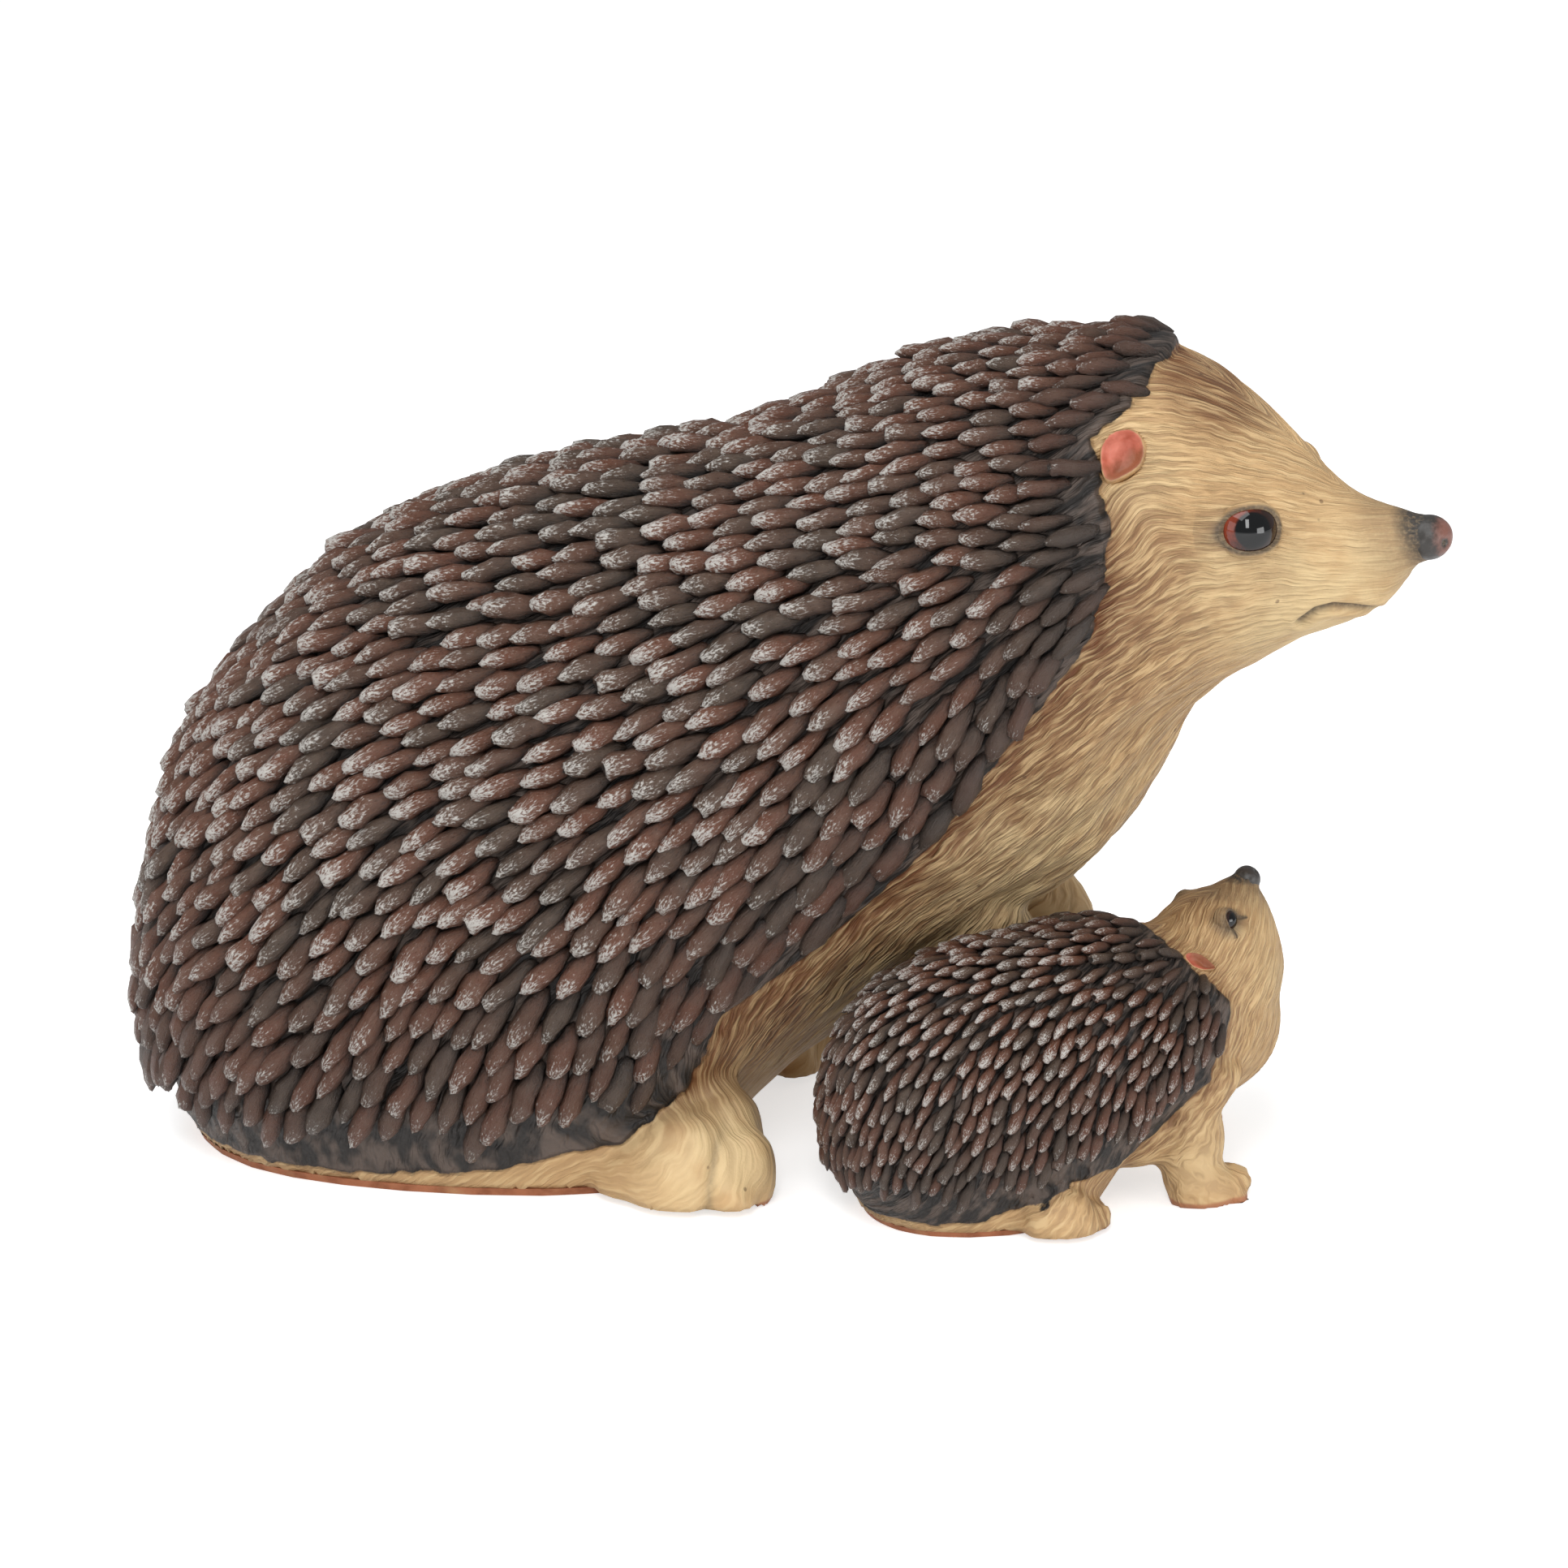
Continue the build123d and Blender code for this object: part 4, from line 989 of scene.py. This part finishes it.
def coat_of(animal, bare, sizes, paints):
    """Sets one animal's quills over its bare form"""
    name = animal["name"]
    local, back = animal["local"], animal["back"]
    length = getattr(sizes, name + "_quill_length") / MM
    width = getattr(sizes, name + "_quill_width") / MM
    spots, normals = scattered(bare, animal, (getattr(sizes, name + "_quill_rows") / MM,
                                              getattr(sizes, name + "_quill_gap") / MM), sizes.chance)
    ahead = combed(spots, normals, animal["quill_guides"])
    _, size = guided(spots, animal["quill_guides"])
    edge = eased(animal["band"] * 2.2, animal["band"] * 0.4, border_depth(spots, animal["border"]))
    low_edge = edge * eased(animal["band_top"], animal["band_top"] * 0.6, spots[:, 2])
    low = eased(animal["band_top"] * 0.4, animal["band_top"] * 0.16, spots[:, 2])
    size = size * (1 - 0.25 * low_edge) * (1 - 0.28 * low)
    dull = np.maximum(edge, 0.8 * eased(animal["band_top"] * 1.3, animal["band_top"] * 0.2, spots[:, 2]))
    front = eased(animal["band"] * 6, animal["band"], border_depth(spots, animal["border"]))
    front *= 0.5 * eased(animal["band_top"] * 3.4, animal["band_top"] * 2, spots[:, 2])
    dull = np.maximum(dull, front)
    lean = sizes.quill_lean * (1 - 0.95 * np.maximum(low_edge, low)) * eased(0.5, 0.0, normals[:, 0])
    lifted = ahead * np.cos(lean)[:, None] + normals * np.sin(lean)[:, None]
    tips = spots + lifted * (length * size)[:, None]
    bare_width, bare_top = animal["bare_band"]
    margin = bare_width * eased(bare_top, bare_top * 0.55, tips[:, 2]) - animal["overhang"]
    kept = (border_depth(tips, animal["border"]) > margin) & (tips[:, 2] > 1.6)
    kept &= normals[:, 0] < 0.5
    for ear in ear_facts(animal, bare):
        kept &= np.linalg.norm(back(tips) - ear["centre"], axis=1) > ear["half"][1] * 1.5
    spots, normals, lifted, size, dull, low_edge, low = (
        values[kept] for values in (spots, normals, lifted, size, dull, low_edge, low))
    mesh = bpy.data.meshes.new(name + "_quill_points")
    mesh.from_pydata((back(spots - lifted * (0.10 * length * size)[:, None]) * MM).tolist(), [], [])
    carry(mesh, "size", size)
    carry(mesh, "edge", dull)
    carry(mesh, "press", 1 - 0.4 * np.maximum(low_edge, low))
    carry_ways(mesh, "ahead", redirected(back, lifted))
    carry_ways(mesh, "outward", redirected(back, normals))
    coat = new_object(name + "_quills", mesh)
    forms = bpy.data.collections.new(name + " quill forms")
    bpy.context.scene.collection.children.link(forms)
    for seed, rings in enumerate(QUILL_FORMS):
        forms.objects.link(quill_form(f"quill form {seed}", rings, seed))
    tree = quill_tree()
    given = {"Quill length": length * MM, "Quill width": width * MM, "Quill height": width * MM * 0.86,
             "Paint": quill_paint(name + " dry-brushed paint on cast quills", paints, animal["brush"] * MM),
             "Seed": sizes.chance, "Quill forms": forms}
    step = coat.modifiers.new("Quills", "NODES")
    step.node_group = tree
    for socket in tree.interface.items_tree:
        if socket.in_out == "INPUT" and socket.name in given:
            step[socket.identifier] = given[socket.name]
    graph = bpy.context.evaluated_depsgraph_get()
    real = bpy.data.meshes.new_from_object(coat.evaluated_get(graph))
    coat.modifiers.clear()
    coat.data = real
    for form in list(forms.objects):
        bpy.data.objects.remove(form)
    bpy.data.collections.remove(forms)
    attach(coat, "root")
    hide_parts(name + "_quill_coat")


def box_middle(node):
    """The middle of a CAD node, in millimetres"""
    low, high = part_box(node)
    return np.array((low + high) / 2) / MM


def eye_facts(name):
    """Where each of an animal's eyes lies, which way it looks and how its lids open"""
    facts = []
    for side, sign in (("left", 1), ("right", -1)):
        centre = box_middle(f"{name}_{side}_eye")
        # The photo hides the left eyes, which are smaller and deeper so that they don't show there
        if name == "mother":
            out, up, opening = unit(0.30, sign * 0.92, 0.18), unit(-0.10, 0, 1), (1.0, 0.64)
            radius = 6.2 - (sign > 0)
            centre = centre + (1.0, (-2.6 if sign > 0 else 1.4), 0.2)
        else:
            turned = redirected(from_baby, np.array([[0.45, sign * 0.85, 0.25]]))
            out, up, opening = unit(*turned[0]), unit(-0.3, -0.2, 1), (0.74, 0.74)
            radius = 2.5 - 0.8 * (sign > 0)
            centre = centre - out * (0.2 if sign < 0 else 1.9) - up * (0.0 if sign < 0 else 2.2)
        facts.append({"centre": centre, "out": out, "up": squared(up, out), "radius": radius,
                      "opening": opening, "node": f"{name}_{side}_eye"})
    return facts


def carved_mother(points, normals):
    """The mother's mouth, a groove between two soft lips, and her toes, with dark paint in the grooves"""
    nearest = line_gap(points[:, [0, 2]], np.array(MOTHER_MOUTH))
    facing = eased(0.1, 0.4, np.abs(normals[:, 1]))
    depth = (0.45 * np.exp(-((nearest - 1.9) / 1.1) ** 2) - 1.0 * np.exp(-(nearest / 0.75) ** 2)) * facing
    # The crease between the two lobes of each hind foot
    aside = np.abs(points[:, 0] - 62.4 - 0.1 * (points[:, 2] - 8))
    foot = eased(19, 12, points[:, 2]) * eased(34, 40, np.abs(points[:, 1]))
    depth -= 1.3 * np.exp(-(aside / 1.5) ** 2) * foot
    lines = np.maximum(0.85 * np.exp(-(nearest / 0.7) ** 2) * facing,
                       0.4 * np.exp(-(aside / 0.8) ** 2) * foot)
    return points + normals * depth[:, None], lines


def mother_wash_share(points):
    """How much of the wash beside the coat there is: little on the head and the feet, and little on the far
    leg, where leaving it out is painted light on a leg in shade
    """
    # Painted light: the far foreleg lies in shade under the chest, and loses its wash so that it shows pale
    far_leg_painted_light = eased(0, 12, points[:, 1]) * eased(50, 40, points[:, 2]) * eased(98, 106, points[:, 0])
    low = eased(26, 14, points[:, 2])
    return (0.95 * eased(165, 125, points[:, 2]) + 0.15) * (1 - far_leg_painted_light) * (1 - 0.8 * low)


def carved_baby(points, normals):
    """The baby's mouth is only hinted at, so its face stays as it is cast"""
    return points, np.zeros(len(points))


def animals():
    """What each of the two animals is made from and how it is finished"""
    mother = {
        "name": "mother", "local": unmoved, "back": unmoved, "middle": MOTHER_MIDDLE,
        "scale": 1.0, "voxel": 2.0, "sole": 1.6,
        "border": MOTHER_BORDER, "quill_guides": MOTHER_QUILL_GUIDES, "fur_guides": MOTHER_FUR_GUIDES,
        "fine": lambda points: (points[:, 0] > 128) & (points[:, 2] > 88) & (points[:, 1] < 40),
        "plated": lambda points: points[:, 0] < 70,
        "lumps": [((along, side * aside, level), radii, side * turn) for side in (1, -1)
                  for along, aside, level, radii, turn in MOTHER_LUMPS],
        "ear_up": (0.28, 0.0, 0.96), "ear_half": (4.3, 5.6), "ear_depth": 1.9,
        "bed": 1.5, "rolls": 5.0, "soot": MOTHER_SOOT, "pale": MOTHER_PALE_AND_PAINTED_LIGHT, "wash": MOTHER_WASH,
        "wash_reach": 11.0, "wash_share": mother_wash_share,
        "carve": carved_mother, "tries": 30000, "lowest": 7.0, "band": 6.0, "band_top": 55.0,
        "overhang": 1.0, "bare_band": (4.0, 26.0), "brush": 0.8,
    }
    baby = {
        "name": "baby", "local": to_baby, "back": from_baby, "middle": ([0.0], [0.0]),
        "scale": 0.62, "voxel": 1.2, "sole": 1.2,
        "border": BABY_BORDER, "quill_guides": BABY_QUILL_GUIDES, "fur_guides": BABY_FUR_GUIDES,
        "fine": lambda points: (points[:, 0] > 36) & (points[:, 2] > 44),
        "plated": lambda points: points[:, 0] < 12,
        "lumps": [(tuple(from_baby(np.array([[along, side * aside, level]]))[0]), radii, BABY_HEADING)
                  for side in (1, -1) for along, aside, level, radii in BABY_LUMPS],
        "ear_up": redirected(from_baby, np.array([[-0.75, 0.0, 0.65]]))[0],
        "ear_half": (2.0, 3.4), "ear_depth": 1.0, "bed": 1.0, "rolls": 1.4,
        "soot": BABY_SOOT, "pale": BABY_PALE, "wash": BABY_WASH,
        "wash_reach": 5.0, "wash_share": lambda points: 0.7 - 0.45 * eased(14, 7, points[:, 2]),
        "carve": carved_baby, "tries": 26000, "lowest": 5.0, "band": 4.0, "band_top": 36.0,
        "overhang": 0.3, "bare_band": (3.4, 36.0), "brush": 0.5,
    }
    for animal in (mother, baby):
        name = animal["name"]
        animal["nodes"] = [f"{name}_{part}" for part in SKIN_PARTS]
        animal["base"] = [f"{name}_{part}" for part in FILLING_PARTS]
        animal["eyes"] = eye_facts(name)
    return {"mother": mother, "baby": baby}


bare_forms = {}


class SculptSkins(Operator):
    """Sculpts both animals' skins round their CAD forms and paints them"""
    bl_idname = "ornament.skins"
    bl_label = "Sculpt the skins"

    def execute(self, context):
        for name, animal in animals().items():
            bare_forms[name] = skin_of(animal, context.scene.ornament_sizes, context.scene.ornament_paints)
        return {"FINISHED"}


class SetQuills(Operator):
    """Sets both coats of quills over the skins"""
    bl_idname = "ornament.quills"
    bl_label = "Set the quills"

    def execute(self, context):
        for name, animal in animals().items():
            if name not in bare_forms:
                raise RuntimeError("the skins are sculpted before the quills are set")
            coat_of(animal, bare_forms[name], context.scene.ornament_sizes, context.scene.ornament_paints)
        return {"FINISHED"}


class SetEyes(Operator):
    """Makes the four glossy eyes behind their lids"""
    bl_idname = "ornament.eyes"
    bl_label = "Set the eyes"

    def execute(self, context):
        paints = {"mother": enamel_eye("mother gloss enamel eye", paint("#84341f"), paint("#2a1d18")),
                  "baby": enamel_eye("baby gloss enamel eye", paint("#2a1a16"), paint("#1b1716"))}
        for name in paints:
            for eye in eye_facts(name):
                form = bmesh.new()
                gaze, glow = form.verts.layers.float.new("gaze"), form.verts.layers.float.new("glow")
                bmesh.ops.create_uvsphere(form, u_segments=40, v_segments=24, radius=eye["radius"])
                side = np.cross(eye["up"], eye["out"])
                for vert in form.verts:
                    x, y, z = vert.co / eye["radius"]
                    bulge = 1 + 0.04 * max(z, 0) ** 6
                    way = side * x + eye["up"] * y + eye["out"] * z
                    vert.co = Vector((eye["centre"] + eye["radius"] * bulge * way) * MM)
                    vert[gaze] = math.acos(max(min(z, 1), -1))
                    vert[glow] = 0.5 + 0.5 * (0.8 * -x * (1 if "right" in eye["node"] else -1) + 0.5 * y)
                ball = painted_form(form, eye["node"] + "_enamel", paints[name])
                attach(ball, "root")
                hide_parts(eye["node"])
        return {"FINISHED"}


class ShapeNoses(Operator):
    """Models the two noses, with nostrils"""
    bl_idname = "ornament.noses"
    bl_label = "Shape the noses"

    def execute(self, context):
        paints = context.scene.ornament_paints
        turned = redirected(from_baby, np.array([[0.40, 0, 0.9], [0.0, 1.0, 0.0]]))
        noses = (("mother", 4.7, unit(0.98, -0.14, 0.12), unit(0.15, 0.99, 0), paint("#84584c")),
                 ("baby", 2.9, unit(*turned[0]), unit(*turned[1]), paint("#3c3735")))
        for name, radius, front, left, tip in noses:
            centre = box_middle(name + "_nose")
            left = squared(left, front)
            up = np.cross(front, left)
            form = bmesh.new()
            rubbed = form.verts.layers.float.new("rubbed")
            bmesh.ops.create_uvsphere(form, u_segments=48, v_segments=32, radius=1.0)
            for vert in form.verts:
                x, y, z = vert.co
                pit = sum(math.exp(-((x - 0.80) ** 2 + (y - sign * 0.46) ** 2 + (z + 0.18) ** 2) / 0.045)
                          for sign in (1, -1))
                cleft = math.exp(-(y / 0.10) ** 2) * max(x, 0) * max(-z + 0.2, 0)
                shape = (1 - 0.22 * pit - 0.08 * cleft)
                narrow = 1 + 0.10 * max(x, 0) - 0.05 * abs(z)
                place = front * x * 1.04 * shape + left * y * 1.02 * narrow * shape + up * z * 0.96 * shape
                vert.co = Vector((centre + radius * place) * MM)
                vert[rubbed] = max(0.0, x * 0.9 + 0.1) * (1 - pit)
            nose = painted_form(form, name + "_nose_button",
                                nose_paint(name + " satin black paint on cast resin", paints, tip))
            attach(nose, "root")
            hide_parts(name + "_nose")
        return {"FINISHED"}


class ShapeEars(Operator):
    """Models the four cupped ears"""
    bl_idname = "ornament.ears"
    bl_label = "Shape the ears"

    def execute(self, context):
        paints = context.scene.ornament_paints
        for name, animal in animals().items():
            if name not in bare_forms:
                raise RuntimeError("the skins are sculpted before the ears are shaped")
            # The second colour is the painted shade in the hollow's lower front
            pink = ear_paint(name + " pink paint in a cast ear", paints, paint("#cc7560"), paint("#8a5638"))
            for ear in ear_facts(animal, bare_forms[name]):
                self.shape(ear, pink)
        return {"FINISHED"}

    def shape(self, ear, pink):
        """One ear: a soft rim that falls into a hollow, deepest behind, with a fold across it"""
        half_width, half_height = ear["half"]
        form = bmesh.new()
        hollow, low = form.verts.layers.float.new("hollow"), form.verts.layers.float.new("low")
        rings, sides = 18, 44
        loops = []
        for ring in range(rings + 1):
            share = ring / rings
            front = share <= 0.75
            spread = share / 0.75 if front else 1 + 0.08 * math.sin(math.pi * (share - 0.75) / 0.5)
            loop = []
            for step in range(sides if ring else 1):
                angle = 2 * math.pi * step / sides
                pinch = 1 - 0.42 * max(-math.sin(angle), 0) ** 1.5 + 0.05 * math.sin(3 * angle + 0.6)
                x = half_width * spread * math.cos(angle) * pinch
                y = half_height * spread * math.sin(angle) * (1 + 0.04 * math.sin(2 * angle))
                fold = 0.62 * math.exp(-((math.cos(angle) * spread + 0.42) / 0.30) ** 2)
                fold *= 1 - min(spread, 1) ** 4
                rise = eased(0.45, 1.0, spread) - 1.0 + fold if front else -1.9 * (share - 0.75) / 0.25
                # The front of the rim lies lower than the back, so the hollow opens forward
                rise += (0.30 - 0.10 * math.cos(angle)) * eased(0.6, 1.0, min(spread, 1.0))
                place = ear["centre"] + ear["ahead"] * x + ear["up"] * y + ear["out"] * rise * ear["depth"]
                vert = form.verts.new(Vector(place * MM))
                vert[hollow] = 1 - eased(0.80, 1.0, spread) if front else 0.0
                # How much painted shade the hollow takes: most at its lower front
                vert[low] = 0.45 - 0.30 * y / half_height + 0.42 * x / half_width
                loop.append(vert)
            loops.append(loop)
        for inner, outer in zip(loops, loops[1:]):
            for step in range(sides):
                after = (step + 1) % sides
                if len(inner) == 1:
                    form.faces.new((inner[0], outer[step], outer[after]))
                else:
                    form.faces.new((inner[step], outer[step], outer[after], inner[after]))
        form.faces.new(loops[-1])
        cup = painted_form(form, ear["node"] + "_cup", pink)
        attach(cup, "root")
        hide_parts(ear["node"])


class PaintBases(Operator):
    """Paints the plates that close the two casts underneath"""
    bl_idname = "ornament.bases"
    bl_label = "Paint the bases"

    def execute(self, context):
        primer = bare_resin_paint("red brown primer on cast resin", context.scene.ornament_paints)
        for node in ("mother_base_plate", "baby_base_plate"):
            frame["nodes"][node].material_slots[0].material = primer
        return {"FINISHED"}


class SetStage(Operator):
    """Sets up the floor, the soft lamps and the camera"""
    bl_idname = "ornament.stage"
    bl_label = "Set the stage"

    def execute(self, context):
        scene = context.scene
        scene.view_settings.view_transform = "Standard"
        form = bmesh.new()
        bmesh.ops.create_grid(form, x_segments=1, y_segments=1, size=6.0)
        for vert in form.verts:
            vert.co.z = -0.0001
        mesh = mesh_of(form, "floor", smooth=False)
        floor = new_object("floor", mesh)
        # White photographer's paper: it keeps the soft shadow, and shows plain white elsewhere
        material = bpy.data.materials.new("white paper floor")
        material.use_nodes = True
        tree = material.node_tree
        tree.nodes.clear()
        path = add(tree, "ShaderNodeLightPath")
        mirrored = add(tree, "most", path.outputs["Is Glossy Ray"], path.outputs["Is Transmission Ray"])
        seen = add(tree, "most", path.outputs["Is Camera Ray"], mirrored)
        paper = add(tree, "ShaderNodeBsdfDiffuse", {"Color": (0.86, 0.86, 0.86, 1)})
        glow = add(tree, "ShaderNodeEmission", {"Strength": add(tree, "times", seen, 0.62)})
        both = add(tree, "ShaderNodeAddShader", {0: paper.outputs[0], 1: glow.outputs[0]})
        add(tree, "ShaderNodeOutputMaterial", {"Surface": both.outputs[0]})
        mesh.materials.append(material)
        world = bpy.data.worlds.new("soft white tent")
        scene.world = world
        world.use_nodes = True
        tree = world.node_tree
        tree.nodes.clear()
        path = add(tree, "ShaderNodeLightPath")
        dim = add(tree, "ShaderNodeBackground", {"Color": (0.98, 0.99, 1.0, 1), "Strength": 0.36})
        white = add(tree, "ShaderNodeBackground", {"Strength": 1.0})
        shown = add(tree, "ShaderNodeMixShader", {0: path.outputs["Is Camera Ray"], 1: dim.outputs[0],
                                                  2: white.outputs[0]})
        add(tree, "ShaderNodeOutputWorld", {"Surface": shown.outputs[0]})
        target = Vector((68.5, 0, 75.5)) * MM
        lamps = (("tall softbox", (0.18, -1.25, 1.05), 0.35, 0.95, 9.0),
                 ("overhead softbox", (-0.35, -0.35, 1.5), 1.1, 1.1, 12.0),
                 ("side fill", (-1.4, -0.9, 0.6), 0.9, 0.9, 4.0),
                 ("face fill", (1.4, -0.75, 0.12), 0.8, 0.8, 11.0))
        for name, place, width, height, power in lamps:
            light = bpy.data.lights.new(name, "AREA")
            light.shape = "RECTANGLE"
            light.size, light.size_y, light.energy = width, height, power
            lamp = bpy.data.objects.new(name, light)
            scene.collection.objects.link(lamp)
            lamp.location = Vector(place)
            lamp.rotation_euler = (target - lamp.location).to_track_quat("-Z", "Y").to_euler()
        turn, rise, distance = math.radians(9), math.radians(16), 1.3
        lens = bpy.data.cameras.new("photographer's camera")
        lens.sensor_width, lens.lens = 36, 145.3
        camera = bpy.data.objects.new("photographer's camera", lens)
        scene.collection.objects.link(camera)
        camera.location = target + distance * Vector((math.sin(turn) * math.cos(rise),
                                                      -math.cos(turn) * math.cos(rise), math.sin(rise)))
        camera.rotation_euler = (target - camera.location).to_track_quat("-Z", "Y").to_euler()
        scene.camera = camera
        return {"FINISHED"}


class ORNAMENT_PT_steps(Panel):
    """Lists the steps that make the ornament"""
    bl_idname = "ORNAMENT_PT_steps"
    bl_label = "Hedgehog ornament"
    bl_space_type = "VIEW_3D"
    bl_region_type = "UI"
    bl_category = "Ornament"

    def draw(self, context):
        for step in STEPS:
            self.layout.operator(step.bl_idname)
        for group in (context.scene.ornament_sizes, context.scene.ornament_paints):
            for name in group.bl_rna.properties.keys():
                if name not in ("rna_type", "name"):
                    self.layout.prop(group, name)


STEPS = (SetStage, SculptSkins, SetQuills, SetEyes, ShapeNoses, ShapeEars, PaintBases)


def register():
    for kind in (OrnamentSizes, OrnamentPaints, *STEPS, ORNAMENT_PT_steps):
        bpy.utils.register_class(kind)
    bpy.types.Scene.ornament_sizes = PointerProperty(type=OrnamentSizes)
    bpy.types.Scene.ornament_paints = PointerProperty(type=OrnamentPaints)


def unregister():
    del bpy.types.Scene.ornament_sizes
    del bpy.types.Scene.ornament_paints
    for kind in (ORNAMENT_PT_steps, *reversed(STEPS), OrnamentPaints, OrnamentSizes):
        bpy.utils.unregister_class(kind)


def main():
    """Makes every piece"""
    register()
    for step in STEPS:
        group, name = step.bl_idname.split(".")
        getattr(getattr(bpy.ops, group), name)()


if __name__ == "__main__":
    main()
